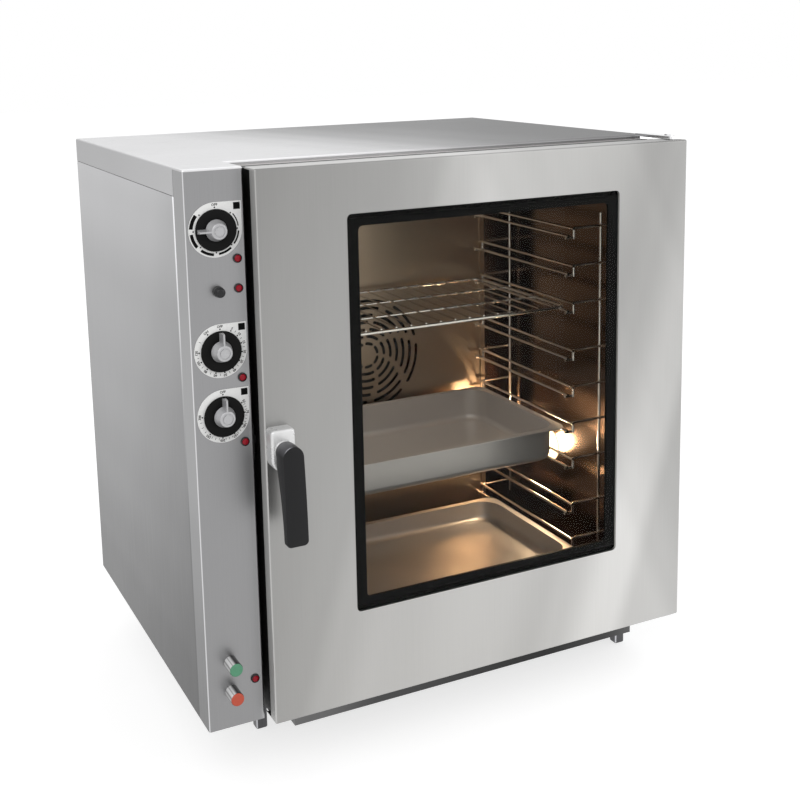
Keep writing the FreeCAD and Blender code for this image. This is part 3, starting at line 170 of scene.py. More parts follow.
def masked(tree, mask, tone):
    """A tone where the mask is one, and no change where it is zero."""
    return mixed(tree, "MIX", mask, (1, 1, 1, 1), tone)


def scaled(tree, colour, number):
    """A colour scaled by a number."""
    return node(tree, "VectorMath", "SCALE", {0: colour, "Scale": number}).outputs["Vector"]


def reach_along(tree, vector, direction):
    """How far a vector reaches along a direction."""
    return node(tree, "VectorMath", "DOT_PRODUCT", {0: vector, 1: direction}).outputs["Value"]


def tone_by(tree, value, stops, blend="EASE"):
    """A grey tone chosen by a number, from (share, tone) stops."""
    ramp = node(tree, "ValToRGB", inputs={"Fac": value})
    ramp.color_ramp.interpolation = blend
    while len(ramp.color_ramp.elements) < len(stops):
        ramp.color_ramp.elements.new(0.5)
    for element, (share, tone) in zip(ramp.color_ramp.elements, stops):
        element.position = share
        element.color = (tone, tone, tone, 1)
    return ramp.outputs["Color"]


def tone_along(tree, direction, start, end, stops):
    """A tone that changes from start to end, in metres along a direction, by (share, tone) stops."""
    place = node(tree, "TexCoord").outputs["Object"]
    return tone_by(tree, spread(tree, reach_along(tree, place, direction), start, end, 0.0, 1.0), stops)


def facing(tree, direction, start, end, low, high):
    """A number that changes from low to high as the surface turns towards a direction."""
    normal = node(tree, "NewGeometry").outputs["Normal"]
    return spread(tree, reach_along(tree, normal, direction), start, end, low, high)


# %% [markdown]
# One function makes every ground steel, and paints its light and shade into the colour. Its painted tones change
# slowly along an axis, as (direction, start, end, stops). Its turns are painted highlights and shade: they scale
# the tone by the direction that the surface faces, as (direction, start, end, low, high), and satin changes how
# much of a metal it is in the same way. A line is a narrow band of painted light and shade with tones of its own
# along another axis, and a fold gives such painted tones to the face that looks in one direction.

# %% Brushed steel
# Slow clouds stretched upright: partly random unevenness of the sheet, partly painted soft reflection streaks.
cloud_scale = (3, 3, 0.9)
cloud_detail = 1.5
straight_on = (0.9, 0.99, 0.0, 1.0)


def brushed_steel(name, colour, lines, rough=0.3, painted_tones=(), contrast=0.03, clouds=0.06, painted_turns=(), edge=1.0,
                  metal=1.0, satin=(), painted_line=(), painted_fold=()):
    """Ground stainless: fine lines, slow clouds, and painted light and shade as tones, turns, a line and a fold.
    """
    made, tree, shader = finish_start(name)
    fine = noise_along(tree, lines)
    slow = noise_along(tree, cloud_scale, cloud_detail)
    dark, light = tinted(colour, 1 - contrast), tinted(colour, 1 + contrast)
    tone = colours_by(tree, between(tree, fine, 0.0, 1.0), dark, light)
    tone = multiplied(tree, tone, colours_by(tree, between(tree, slow, 0.0, 1.0), (1 - clouds,) * 3, (1, 1, 1)))
    for change in painted_tones:
        tone = multiplied(tree, tone, tone_along(tree, *change))
    for turn in painted_turns:
        tone = scaled(tree, tone, facing(tree, *turn))
    if painted_line:
        where, levels = painted_line
        tone = multiplied(tree, tone, masked(tree, tone_along(tree, *where), tone_along(tree, *levels)))
    if painted_fold:
        direction, levels = painted_fold
        mask = facing(tree, direction, *straight_on)
        tone = multiplied(tree, tone, masked(tree, mask, tone_along(tree, *levels)))
    relief(tree, shader, fine, 0.05, 0.0001)
    fill(tree, shader, {"Base Color": tone, "Roughness": between(tree, fine, rough - 0.03, rough + 0.04),
                        "Metallic": facing(tree, *satin) if satin else metal,
                        "Specular Tint": (edge, edge, edge, 1)})
    return made


# %% [markdown]
# The light and shade on the steels of the case are painted into their colours. The side is painted darker to its
# foot and to its front. The door and the control panel mirror one light streak that leans to the right, so a
# painted tone changes along a slanted direction. The lid is painted brightest at its left front. A bend turns
# through all directions within a few millimetres, so somewhere on it the lamp is mirrored as a thin bright line;
# that line is a painted highlight, which raises the tone of the bends by the direction that the surface faces.
# Where the side panel meets the fold of the control panel, its front edge has a painted line, bright above and
# dark below, and the fold itself is painted darker to its foot.

# %% The steels of the case
up_lines = (1400, 1400, 8)
across_lines = (8, 1400, 1400)
to_left, to_right, to_back, upward = (-1, 0, 0), (1, 0, 0), (0, 1, 0), (0, 0, 1)
left_front = (-0.7071, -0.7071, 0)
# Painted shade on the sides and back: darker towards the foot and towards the front.
side_painted_shade = ((0, 0.18), (0.08, 0.2), (0.15, 0.26), (0.32, 0.39), (0.5, 0.5), (0.72, 0.61), (0.9, 0.83), (1, 0.94))
side_front_painted_shade = ((0, 0.44), (0.2, 0.56), (0.4, 0.7), (0.6, 0.83), (0.8, 0.96), (1, 1.0))
# A painted line down the side's front edge: bright above and dark below.
painted_line_place = (to_back, -0.267, -0.257, ((0, 1), (0.6, 1), (0.8, 0), (1, 0)))
painted_line_tones = ((0, 0.75), (0.24, 0.7), (0.36, 1.0), (0.48, 1.3), (0.6, 1.6), (0.71, 2.1), (0.82, 2.6), (1, 2.6))
painted_line_levels = (upward, 0.3, 0.85, painted_line_tones)
side_steel = brushed_steel("side_steel", (0.52, 0.52, 0.53), up_lines, 0.34,
                           [(upward, 0.1, 0.98, side_painted_shade), ((0, 1, 0.5), -0.27, 0.48, side_front_painted_shade)],
                           painted_line=(painted_line_place, painted_line_levels))
# Painted shade on the control panel's left fold, darker towards its foot.
fold_painted_shade = (upward, 0.1, 0.6, ((0, 0.5), (0.25, 0.6), (0.6, 0.78), (0.8, 0.9), (1, 0.92)))
# Painted light on the control panel: lighter along its right edge, and a painted bright line on its left bend.
panel_painted_light = ((0, 1.0), (0.35, 1.1), (0.8, 1.45), (1, 1.35))
panel_steel = brushed_steel("panel_steel", (0.31, 0.31, 0.315), up_lines, 0.36,
                            [(to_right, -0.362, -0.3535, panel_painted_light)],
                            0.03, 0.06, [(left_front, 0.9, 0.99, 1.0, 2.2)], painted_fold=(to_left, fold_painted_shade))
# Painted light on the door: lighter towards its lower right along a slanted streak.
door_painted_streak = ((0, 0.41), (0.1, 0.45), (0.22, 0.49), (0.31, 0.53), (0.36, 0.62), (0.45, 0.71), (0.6, 0.76),
              (0.68, 0.74), (0.77, 0.68), (0.82, 0.74), (0.92, 0.98), (0.95, 0.98), (1, 0.78))
# Painted shade on the door, darker towards its upper right; its left bend and left return are painted brighter.
door_corner_painted_shade = ((0, 0.97), (0.13, 0.86), (0.35, 0.75), (0.45, 0.71), (0.6, 0.68), (0.76, 0.65), (0.88, 0.57),
                (1, 0.54))
door_steel = brushed_steel("door_steel", (0.74, 0.735, 0.72), up_lines, 0.33,
                           [((1, 0, -0.304), -0.64, 0.3, door_painted_streak), ((1, 0, 0.45), 0.45, 0.85, door_corner_painted_shade)],
                           0.025, 0.1, [(left_front, 0.8, 0.98, 1.0, 1.45), (to_left, 0.9, 0.99, 1.0, 1.4)],
                           satin=(to_left, 0.9, 0.99, 1.0, 0.1))
# Painted reflection on the lid, lightest at its left front, and painted shade on its faces that do not look up.
lid_painted_reflection = ((0, 1.0), (0.25, 0.98), (0.36, 0.86), (0.45, 0.7), (0.55, 0.5), (0.68, 0.36), (0.86, 0.28), (1, 0.27))
lid_steel = brushed_steel("lid_steel", (0.96, 0.96, 0.97), across_lines, 0.3,
                          [((1, 0.25, 0), -0.45, 0.4, lid_painted_reflection)], 0.03, 0.05,
                          [(upward, 0.0, 0.8, 0.72, 1.0)], 0.5)
# Painted shade: the base channel under the door is near black, and painted lighter towards both ends.
base_painted_tones = ((0, 3.2), (0.06, 2.9), (0.25, 1.5), (0.7, 0.8), (0.88, 1.2), (1, 2.2))
base_steel_painted_shade = brushed_steel("base_steel_painted_shade", (0.06, 0.06, 0.06), across_lines, 0.4,
                           [(to_right, -0.28, 0.44, base_painted_tones)])
# Painted highlight: the legs' left front corners are up to six times lighter.
leg_steel = brushed_steel("leg_steel", (0.11, 0.11, 0.115), up_lines, 0.3, (), 0.1, 0.2,
                          [(left_front, 0.9, 0.97, 1.0, 6.0)])
print("case steels", [m.name for m in bpy.data.materials if "steel" in m.name])

# %% [markdown]
# The cavity is bright rolled steel. It mirrors its own dark corners and the warm lamp, so most of it looks deep
# brown, and the baffle in front of the fan, which faces the window, looks golden. Both are painted into the
# colours:
# the walls are painted deep brown as shade, and the baffle golden as warm light.

# %% The steels of the cavity
# Painted shade and warm light: deep brown walls and a golden baffle stand in for what the steel mirrors.
wall_steel_painted_shade = brushed_steel("wall_steel_painted_shade", (0.17, 0.115, 0.085), across_lines, 0.18, (), 0.03, 0.15)
baffle_steel_painted_warm_light = brushed_steel("baffle_steel_painted_warm_light", (0.46, 0.36, 0.27), across_lines, 0.32, (), 0.03, 0.15)
frame_steel = brushed_steel("frame_steel", (0.4, 0.38, 0.37), across_lines, 0.35, (), 0.03, 0.1)
pan_steel = brushed_steel("pan_steel", (0.5, 0.48, 0.475), (300, 300, 300), 0.35, (), 0.03, 0.1, metal=0.6)
print("cavity steels made")

# %% [markdown]
# Chrome, castings, plastic, rubber, the near-black door frame and glass fibre are not ground, so their variation
# has
# no direction: one fine cloud changes the tone, the gloss and the relief a little. Only the scale and the amount
# differ, and the rose and the grip also get painted highlights and shade by the direction that the surface faces.

# %% Chrome, castings, plastics and rubber


def plain_finish(name, colour, rough, metallic=0.0, cloud=60.0, contrast=0.06, depth=0.00005, strength=0.1,
                 gloss=0.5, painted_turns=()):
    """A moulded or plated surface: a fine cloud of tone, gloss and relief, with painted light and shade by facing.
    """
    made, tree, shader = finish_start(name)
    fine = noise_along(tree, (cloud, cloud, cloud), 4.0)
    dark, light = tinted(colour, 1 - contrast), tinted(colour, 1 + contrast)
    colour_out = colours_by(tree, between(tree, fine, 0.0, 1.0), dark, light)
    for turn in painted_turns:
        colour_out = scaled(tree, colour_out, facing(tree, *turn))
    relief(tree, shader, fine, strength, depth)
    fill(tree, shader, {"Base Color": colour_out, "Roughness": between(tree, fine, rough * 0.85, rough * 1.15),
                        "Metallic": metallic, "Specular IOR Level": gloss})
    return made


chrome = plain_finish("chrome", (0.82, 0.82, 0.83), 0.1, 1.0)
# Painted shade: the rose is a little darker where it does not face the front.
rose_chrome = plain_finish("rose_chrome", (0.86, 0.86, 0.86), 0.3, 0.4, painted_turns=(((0, -1, 0), 0.5, 1.0, 0.85, 1.0),))
bright_wire = plain_finish("bright_wire", (0.78, 0.75, 0.72), 0.22, 1.0)
dark_plate = plain_finish("dark_plate", (0.02, 0.02, 0.02), 0.5, 0.0, 300.0, gloss=0.1)
cast_grey = plain_finish("cast_grey", (0.3, 0.31, 0.32), 0.5, 1.0, 400.0)
pressed_sheet = plain_finish("pressed_sheet", (0.08, 0.075, 0.07), 0.45, 1.0, 300.0)
heat_tube = plain_finish("heat_tube", (0.12, 0.09, 0.08), 0.5, 1.0, 300.0)
turned_brass = plain_finish("turned_brass", (0.62, 0.45, 0.2), 0.3, 1.0, 300.0)
knob_silver = plain_finish("knob_silver", (0.5, 0.5, 0.51), 0.32, 0.45, 500.0)
collar_grey = plain_finish("collar_grey", (0.09, 0.09, 0.09), 0.25, 0.7, 500.0)
black_disc = plain_finish("black_disc", (0.006, 0.006, 0.006), 0.5, 0.0, 500.0, gloss=0.1)
# Painted highlights on the grip: up to eight times lighter where it faces up, to the left and to the front.
grip_painted_sheen = (((-0.5, 0, 0.866), 0.6, 1.0, 1.0, 8.0), ((-0.4, -0.55, 0.73), 0.9, 0.98, 1.0, 7.0))
grip_plastic = plain_finish("grip_plastic", (0.013, 0.013, 0.014), 0.35, 0.0, 1500.0, 0.1, 0.00008, 0.2, 0.2,
                            grip_painted_sheen)
dark_plastic = plain_finish("dark_plastic", (0.012, 0.012, 0.013), 0.3, 0.0, 800.0, gloss=0.35)
# The door's inner frame is near black; this also makes the gap beside the door look black.
near_black_frame = plain_finish("near_black_frame", (0.008, 0.008, 0.008), 0.4, 0.0, 200.0, gloss=0.1)
seal_rubber = plain_finish("seal_rubber", (0.016, 0.016, 0.016), 0.6, 0.0, 900.0)
border_black = plain_finish("border_black", (0.003, 0.003, 0.003), 0.4, 0.0, 300.0, gloss=0.05)
print_black = plain_finish("print_black", (0.004, 0.004, 0.004), 0.5, 0.0, 900.0, gloss=0.05)
dial_white = plain_finish("dial_white", (0.92, 0.92, 0.91), 0.4, 0.0, 300.0, 0.03)
red_lens = plain_finish("red_lens", (0.34, 0.0, 0.012), 0.12, 0.0, 300.0, gloss=0.25)
bezel_dark = plain_finish("bezel_dark", (0.05, 0.04, 0.042), 0.25, 0.7, 300.0)
green_cap = plain_finish("green_cap", (0.1, 0.33, 0.19), 0.35, 0.0, 400.0, 0.05)
red_cap = plain_finish("red_cap", (0.6, 0.09, 0.045), 0.35, 0.0, 400.0, 0.05)
wool = plain_finish("wool", (0.6, 0.52, 0.3), 0.95, 0.0, 700.0, 0.3, 0.002, 1.0)
print("plain finishes", len(bpy.data.materials))

# %% [markdown]
# The long barrels of the buttons mirror a striped room: white on the upper left, then grey, and black on the
# upper right. Those reflections are painted into the colour as stripes along the barrel, by the direction that the
# surface faces.

# %% The chrome of the barrels, with painted reflection stripes
barrel_chrome, tree, shader = finish_start("barrel_chrome")
# Painted reflections: white, grey and black stripes by the direction that the surface faces.
painted_stripe_tones = ((0, 0.4), (0.1, 0.85), (0.2, 0.3), (0.28, 0.9), (0.42, 0.9), (0.47, 0.35), (0.54, 0.85),
                (0.62, 0.8), (0.7, 0.25), (0.77, 0.02), (0.95, 0.02), (1, 0.3))
upper_right = (0.87, 0, 0.5)
painted_stripes = tone_by(tree, facing(tree, upper_right, -1.0, 1.0, 0.0, 1.0), painted_stripe_tones, "LINEAR")
fine = noise_along(tree, (300, 300, 300))
faint_cloud = colours_by(tree, fine, (0.94,) * 3, (1, 1, 1))
relief(tree, shader, fine, 0.05, 0.00003)
fill(tree, shader, {"Base Color": multiplied(tree, painted_stripes, faint_cloud),
                    "Roughness": between(tree, fine, 0.12, 0.2), "Metallic": 0.2})
print("painted_stripes", len(painted_stripe_tones))

# %% [markdown]
# Window glass is nearly clear and reflects more at a shallow angle. A true refracting glass would darken the
# lit cavity and slow the render, so a thin pane is a mix of a transparent and a glossy shader, by Fresnel. The
# low index stands for the coated glass of an oven door, which reflects little.

# %% Glass


def pane_glass(name, tint, index):
    """A thin clear pane."""
    made = bpy.data.materials.new(name)
    made.use_nodes = True
    tree = made.node_tree
    tree.nodes.clear()
    behind = node(tree, "NewGeometry").outputs["Backfacing"]
    front_only = node(tree, "Math", "SUBTRACT", {0: 1.0, 1: behind}).outputs[0]
    mirrored = node(tree, "Fresnel", inputs={"IOR": index}).outputs["Fac"]
    share = node(tree, "Math", "MULTIPLY", {0: mirrored, 1: front_only}).outputs[0]
    clear = node(tree, "BsdfTransparent", inputs={"Color": (*tint, 1)}).outputs["BSDF"]
    gloss = node(tree, "BsdfGlossy", inputs={"Color": (1, 1, 1, 1), "Roughness": 0.02}).outputs["BSDF"]
    mix = node(tree, "MixShader", inputs={"Fac": share, 1: clear, 2: gloss})
    node(tree, "OutputMaterial", inputs={"Surface": mix.outputs["Shader"]})
    return made


window_glass = pane_glass("window_glass", (0.97, 0.97, 0.96), 1.12)

# %% The lit lamp glass


def lit_glass(name, colour, strength):
    """Frosted glass with a bulb behind it."""
    made, tree, shader = finish_start(name)
    fine = noise_along(tree, (40, 40, 40))
    colour_out = colours_by(tree, between(tree, fine, 0.0, 1.0), tinted(colour, 0.85), colour)
    fill(tree, shader, {"Base Color": colour_out, "Emission Color": colour_out, "Emission Strength": strength,
                        "Roughness": 0.3})
    return made


lamp_glass = lit_glass("lamp_glass", (1.0, 0.78, 0.52), 1.6)

# %% Give every node its finish
finish_of = {
    side_steel: ["left_side_panel", "right_side_panel", "rear_panel"],
    lid_steel: ["top_lid"],
    base_steel_painted_shade: ["base_channel", "bottom_panel"],
    leg_steel: ["legs"],
    panel_steel: ["control_panel", "divider_wall"],
    door_steel: ["door_skin"],
    near_black_frame: ["door_inner_frame"],
    wall_steel_painted_shade: ["cavity_shell"],
    frame_steel: ["front_frame"],
    baffle_steel_painted_warm_light: ["fan_baffle"],
    pan_steel: ["deep_pan", "shallow_pan"],
    bright_wire: ["right_rack", "left_rack", "wire_shelf"],
    chrome: ["handle_base", "handle_lever", "hinge_brackets", "hinge_pins", "button_barrels",
             "case_screws", "drain_pipe", "vent_pipe"],
    wool: ["insulation"],
    seal_rubber: ["door_gasket"],
    border_black: ["window_border"],
    dark_plate: ["door_strike", "latch_cam"],
    cast_grey: ["fan_motor", "humidity_regulator", "timer_body", "thermostat_body", "lamp_housing"],
    pressed_sheet: ["fan_wheel"],
    heat_tube: ["heating_element", "steam_pipe"],
    turned_brass: ["solenoid_valve", "water_inlet"],
    dark_plastic: ["cable_gland", "terminal_block", "reset_button"],
    grip_plastic: ["handle_grip"],
    lamp_glass: ["lamp_lens"],
    dial_white: ["dial_plates"],
    black_disc: ["humidity_knob_skirt", "timer_knob_skirt", "thermostat_knob_skirt"],
    bezel_dark: ["indicator_bezels"],
    red_lens: ["indicator_lenses"],
    knob_silver: ["humidity_knob_hub", "timer_knob_hub", "thermostat_knob_hub"],
    green_cap: ["green_button"],
    red_cap: ["red_button"],
    window_glass: ["outer_glass", "inner_glass"],
}
for finish, names in finish_of.items():
    for name in names:
        nodes[name].data.materials.clear()
        nodes[name].data.materials.append(finish)
print("finished", sum(len(names) for names in finish_of.values()), "of", len(nodes))

# %% [markdown]
# ## Pieces modelled again by hand
# A knob, a lamp or a handle is judged by its edges. The frame gives their places and sizes; here they get the
# soft edges, grooves and domes that catch the light. What repeats is modelled once and copied. Edges and faces
# are picked by where they are, and what lies nearer than a tenth of a millimetre counts as there.

# %% Pick parts of a piece by place
near = 0.1


def pick(piece, kind, test):
    """Selects the vertices, edges or faces whose middle, in millimetres on the case, passes a test."""
    mesh = bmesh.from_edit_mesh(piece.data)
    mesh.select_mode = {"VERT"}
    for vertex in mesh.verts:
        vertex.select = False
    mesh.select_flush(False)
    mesh.select_mode = {kind}
    chosen = {"VERT": mesh.verts, "EDGE": mesh.edges, "FACE": mesh.faces}[kind]
    count = 0
    for item in chosen:
        if kind == "VERT":
            place = on_case(item.co)
        elif kind == "EDGE":
            place = on_case((item.verts[0].co + item.verts[1].co) / 2)
        else:
            place = on_case(item.calc_center_median())
        if test(place, item):
            item.select = True
            count += 1
    mesh.select_flush_mode()
    bmesh.update_edit_mesh(piece.data)
    return count


def depth_edge(place, edge):
    """A test for edges that run front to back."""
    return abs(edge.verts[0].co.y - edge.verts[1].co.y) > 0.5 * mm


def upright_edge(place, edge):
    """A test for edges that run straight up."""
    lower, upper = edge.verts
    return abs(lower.co.x - upper.co.x) + abs(lower.co.y - upper.co.y) < near * mm


def front_edge(depth):
    """Makes a test for edges on a front face, whose depth it knows."""
    return lambda place, edge: all(on_case(vertex.co).y < depth + near for vertex in edge.verts)


# %% Select, join, edit and soften


def selected(piece, *others):
    """Selects these pieces alone, with the first one active."""
    bpy.ops.object.select_all(action="DESELECT")
    for each in (piece, *others):
        each.select_set(True)
    bpy.context.view_layer.objects.active = piece


def joined(piece, *others):
    """Joins the others into the first piece."""
    selected(piece, *others)
    bpy.ops.object.join()
    return piece


def editing(piece):
    """Opens one piece in edit mode."""
    selected(piece)
    bpy.ops.object.mode_set(mode="EDIT")
    bpy.context.tool_settings.mesh_select_mode = (True, False, False)


def rounded(width, steps):
    """Rounds the selected edges, by millimetres."""
    bpy.ops.mesh.bevel(offset=width * mm, segments=steps, affect="EDGES")


def closed_outward():
    """Leaves edit mode with every normal outward."""
    bpy.ops.mesh.select_all(action="SELECT")
    bpy.ops.mesh.normals_make_consistent(inside=False)
    bpy.ops.object.mode_set(mode="OBJECT")


def smooth(piece, degrees=32):
    """Round forms are shaded smooth, and edges sharper than this stay crisp."""
    selected(piece)
    bpy.ops.object.shade_smooth_by_angle(angle=math.radians(degrees))


# %% Start from a block or a disc


def start_block(name, low, high):
    """A block between two corners, in millimetres on the case."""
    low_corner, high_corner = at(*low), at(*high)
    bpy.ops.mesh.primitive_cube_add(size=1, location=(low_corner + high_corner) / 2)
    piece = bpy.context.object
    piece.name = name
    piece.scale = high_corner - low_corner
    bpy.ops.object.transform_apply(location=True, rotation=True, scale=True)
    return piece


def start_disc(name, centre, radius, points=64):
    """A filled circle that faces the front."""
    bpy.ops.mesh.primitive_circle_add(vertices=points, radius=radius * mm, fill_type="NGON",
                                      location=at(*centre), rotation=(math.radians(90), 0, 0))
    piece = bpy.context.object
    piece.name = name
    bpy.ops.object.transform_apply(location=True, rotation=True, scale=True)
    return piece


# %% Turn a round piece


def turned(name, x, z, steps, points=64):
    """A lathe: the first circle is drawn out along the depth and widened or narrowed at each (depth, radius)."""
    (y, radius), rest = steps[0], steps[1:]
    piece = start_disc(name, (x, y, z), radius, points)
    editing(piece)
    bpy.ops.mesh.select_all(action="SELECT")
    for next_y, next_radius in rest:
        bpy.ops.mesh.extrude_region_move(TRANSFORM_OT_translate={"value": (0, (next_y - y) * mm, 0)})
        factor = next_radius / radius
        bpy.ops.transform.resize(value=(factor, 1, factor), center_override=at(x, next_y, z))
        y, radius = next_y, next_radius
    closed_outward()
    smooth(piece)
    return piece


# %% Finish and place a new piece


def settle(piece, finish, body, slot, *stands_for):
    """Gives a piece its finish and the body it moves with, and hides the node that it stands for; slot is not
    used.
    """
    piece.data.materials.clear()
    piece.data.materials.append(finish)
    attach(piece, body)
    if stands_for:
        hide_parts(*stands_for)
    return piece


def copied(piece, name, move):
    """A copy with its own mesh, moved by millimetres."""
    copy = piece.copy()
    copy.data = piece.data.copy()
    copy.name = name
    bpy.context.scene.collection.objects.link(copy)
    copy.data.transform(Matrix.Translation(Vector(move) * mm))
    return copy


print("tools for modelling are ready")

# %% [markdown]
# ### Dial plates
# Each dial has a thin printed plate, round but for one square corner that carries a black square. A plate is a
# block with three of its upright corners bevelled until they meet as one round edge. One is made and copied.

# %% Sizes of the dials
dial_x = 46
humidity_z, timer_z, thermostat_z = 789, 606.5, 506
plate_radius = 41
plate_front = -1.2
plate_edge = 0.3


def on_other_dials(piece, part):
    """Copies of the timer's piece for the humidity dial and for the thermostat."""
    return [copied(piece, "%s_%s" % (dial, part), (0, 0, height - timer_z))
            for dial, height in (("humidity", humidity_z), ("thermostat", thermostat_z))]


# %% Model one plate
timer_plate = start_block("timer_plate", (dial_x - plate_radius, plate_front, timer_z - plate_radius),
                          (dial_x + plate_radius, 0, timer_z + plate_radius))
editing(timer_plate)


def is_round_corner(place, edge):
    """The plate's short edges, without the one at the upper right."""
    return depth_edge(place, edge) and not (place.x > dial_x and place.z > timer_z)


corners = pick(timer_plate, "EDGE", is_round_corner)
rounded(plate_radius - near, 20)
pick(timer_plate, "EDGE", front_edge(plate_front))
rounded(plate_edge, 2)
closed_outward()
smooth(timer_plate)
humidity_plate, thermostat_plate = on_other_dials(timer_plate, "plate")
for plate in (humidity_plate, timer_plate, thermostat_plate):
    settle(plate, dial_white, "case", "dial_print", "dial_plates")
print("rounded corners", corners, "faces", len(timer_plate.data.polygons))

# %% [markdown]
# ### Print on the dials
# The print is ink, a few hundredths of a millimetre thick. Each mark is a thin block or a low disc that is
# turned round the dial's middle. Numbers are text, made a mesh before they are placed. All marks of one dial
# are joined into one piece.

# %% One mark at an angle
print_front = plate_front - 0.05
dot_radius = 1.2
dot_ring = 33.6
number_ring = 37.4
number_height, number_depth, number_bold = 3.9, 0.02, 0.15
size_of_height = 1.35
tick_width, tick_inner, tick_outer = 0.6, 34.3, 37.7
arc_ring = 34.4
corner_mark = 10.4
corner_place = 33.8


def turned_into_place(piece, angle, z):
    """Turns what was made at the top of a dial clockwise round the dial's middle."""
    middle = at(dial_x, 0, z)
    turn = Matrix.Rotation(math.radians(angle), 4, "Y")
    piece.data.transform(Matrix.Translation(middle) @ turn @ Matrix.Translation(-middle))
    return piece


def ink_block(z, across, low, high, angle):
    """A thin bar that points outward."""
    mark = start_block("ink", (dial_x - across / 2, print_front, z + low),
                       (dial_x + across / 2, plate_front, z + high))
    return turned_into_place(mark, angle, z)


def ink_dot(z, angle):
    """A small round dot with a lightly rounded edge."""
    mark = turned("ink", dial_x, z + dot_ring, [(plate_front, dot_radius), (print_front, dot_radius * 0.95)], 14)
    return turned_into_place(mark, angle, z)


def ink_number(z, words, angle):
    """A number, OFF or ON, whose top points outward."""
    bpy.ops.object.select_all(action="DESELECT")
    bpy.ops.object.text_add(rotation=(math.radians(90), 0, 0), location=at(dial_x, print_front, z + number_ring))
    mark = bpy.context.object
    mark.data.body = words
    mark.data.size = number_height * size_of_height * mm
    mark.data.align_x = "CENTER"
    mark.data.align_y = "CENTER"
    mark.data.extrude = number_depth * mm
    mark.data.resolution_u = 2
    mark.data.offset = number_bold * mm
    bpy.ops.object.convert(target="MESH")
    bpy.ops.object.transform_apply(location=True, rotation=True, scale=True)
    return turned_into_place(bpy.context.object, angle, z)


def joined_print(name, marks):
    """Joins the marks of one dial."""
    piece = joined(*marks)
    piece.name = name
    return settle(piece, print_black, "case", "dial_print")


# %% Print the timer and the thermostat
timer_marks = [("OFF", 0), ("5", 30), ("10", 52), ("15", 75), ("20", 98), ("30", 122), ("40", 148), ("50", 172),
               ("60", 196), ("80", 222), ("100", 247), ("120", 272), ("ON", 325)]
widest_divided_step = 55
thermostat_marks = [("OFF", 0), ("50", 60), ("75", 88), ("100", 120), ("150", 152), ("200", 185), ("250", 222),
                    ("300", 275)]


def corner_square(z):
    """The black square on the plate's corner."""
    low, high = corner_place - corner_mark / 2, corner_place + corner_mark / 2
    return start_block("ink", (dial_x + low, print_front, z + low), (dial_x + high, plate_front, z + high))


def numbered_print(name, z, numbers, ticks_between):
    """Dots and numbers, with fine ticks between two numbers."""
    marks = [corner_square(z)]
    for words, angle in numbers:
        marks += [ink_dot(z, angle), ink_number(z, words, angle)]
    for (_, start), (_, end) in zip(numbers[1:], numbers[2:]):
        if end - start < widest_divided_step:
            for step in range(ticks_between):
                angle = start + (end - start) * (step + 1) / (ticks_between + 1)
                marks.append(ink_block(z, tick_width, tick_inner, tick_outer, angle))
    return joined_print(name, marks)


timer_print = numbered_print("timer_print", timer_z, timer_marks, 1)
thermostat_print = numbered_print("thermostat_print", thermostat_z, thermostat_marks, 3)
print("numbers", len(timer_marks) + len(thermostat_marks))

# %% [markdown]
# The humidity dial has eight dots and, between them, curved bars that grow thicker clockwise. A bar is a thin
# profile that the spin tool carries round the dial's middle.

# %% Print the humidity dial
dots, dot_step = 8, 45
bar_start, bar_end = 6, 39
thinnest_bar, bar_growth = 1.7, 0.8
sliver = 0.1


def ink_arc(z, thickness, start, end):
    """A curved bar between two angles, spun out of a sliver round the dial's middle."""
    bar = start_block("ink", (dial_x - sliver, print_front, z + arc_ring),
                      (dial_x, plate_front, z + arc_ring + thickness))
    editing(bar)
    pick(bar, "FACE", lambda place, face: place.x > dial_x - sliver / 4)
    bpy.ops.mesh.spin(steps=10, dupli=False, angle=-math.radians(end - start), center=at(dial_x, 0, z),
                      axis=(0, 1, 0))
    closed_outward()
    return turned_into_place(bar, start, z)


humidity_marks = [corner_square(humidity_z), ink_number(humidity_z, "OFF", 0)]
for step in range(dots):
    humidity_marks.append(ink_dot(humidity_z, step * dot_step))
for step in range(dots - 2):
    angle = (step + 1) * dot_step
    thickness = thinnest_bar + bar_growth * step
    humidity_marks.append(ink_arc(humidity_z, thickness, angle + bar_start, angle + bar_end))
humidity_print = joined_print("humidity_print", humidity_marks)
print("bars", dots - 2, "on", humidity_print.name)

# %% [markdown]
# ### Knobs
# A knob is a flat black disc with a silver hub in front. Both are turned on a lathe, so both are drawn out of a
# circle, step by step. The pointer is a fin as deep as the hub, thinner in front, that stands on the disc and
# reaches nearly to its rim. The hub has one ring groove in its end, and nothing in the middle.

# %% The disc
skirt_back, skirt_front = -2.7, -5.9
skirt_steps = [(skirt_back, 4), (skirt_back, 30.5), (-3.0, 31.4), (-4.9, 31.4), (-5.6, 31.0), (skirt_front, 30.2),
               (skirt_front, 18.5), (-5.6, 17.9)]
timer_skirt = turned("timer_skirt", dial_x, timer_z, skirt_steps, 96)
humidity_skirt, thermostat_skirt = on_other_dials(timer_skirt, "skirt")
settle(humidity_skirt, black_disc, "humidity_knob", "black_gloss", "humidity_knob_skirt")
settle(timer_skirt, black_disc, "timer_knob", "black_gloss", "timer_knob_skirt")
settle(thermostat_skirt, black_disc, "thermostat_knob", "black_gloss", "thermostat_knob_skirt")
print("disc faces", len(timer_skirt.data.polygons))

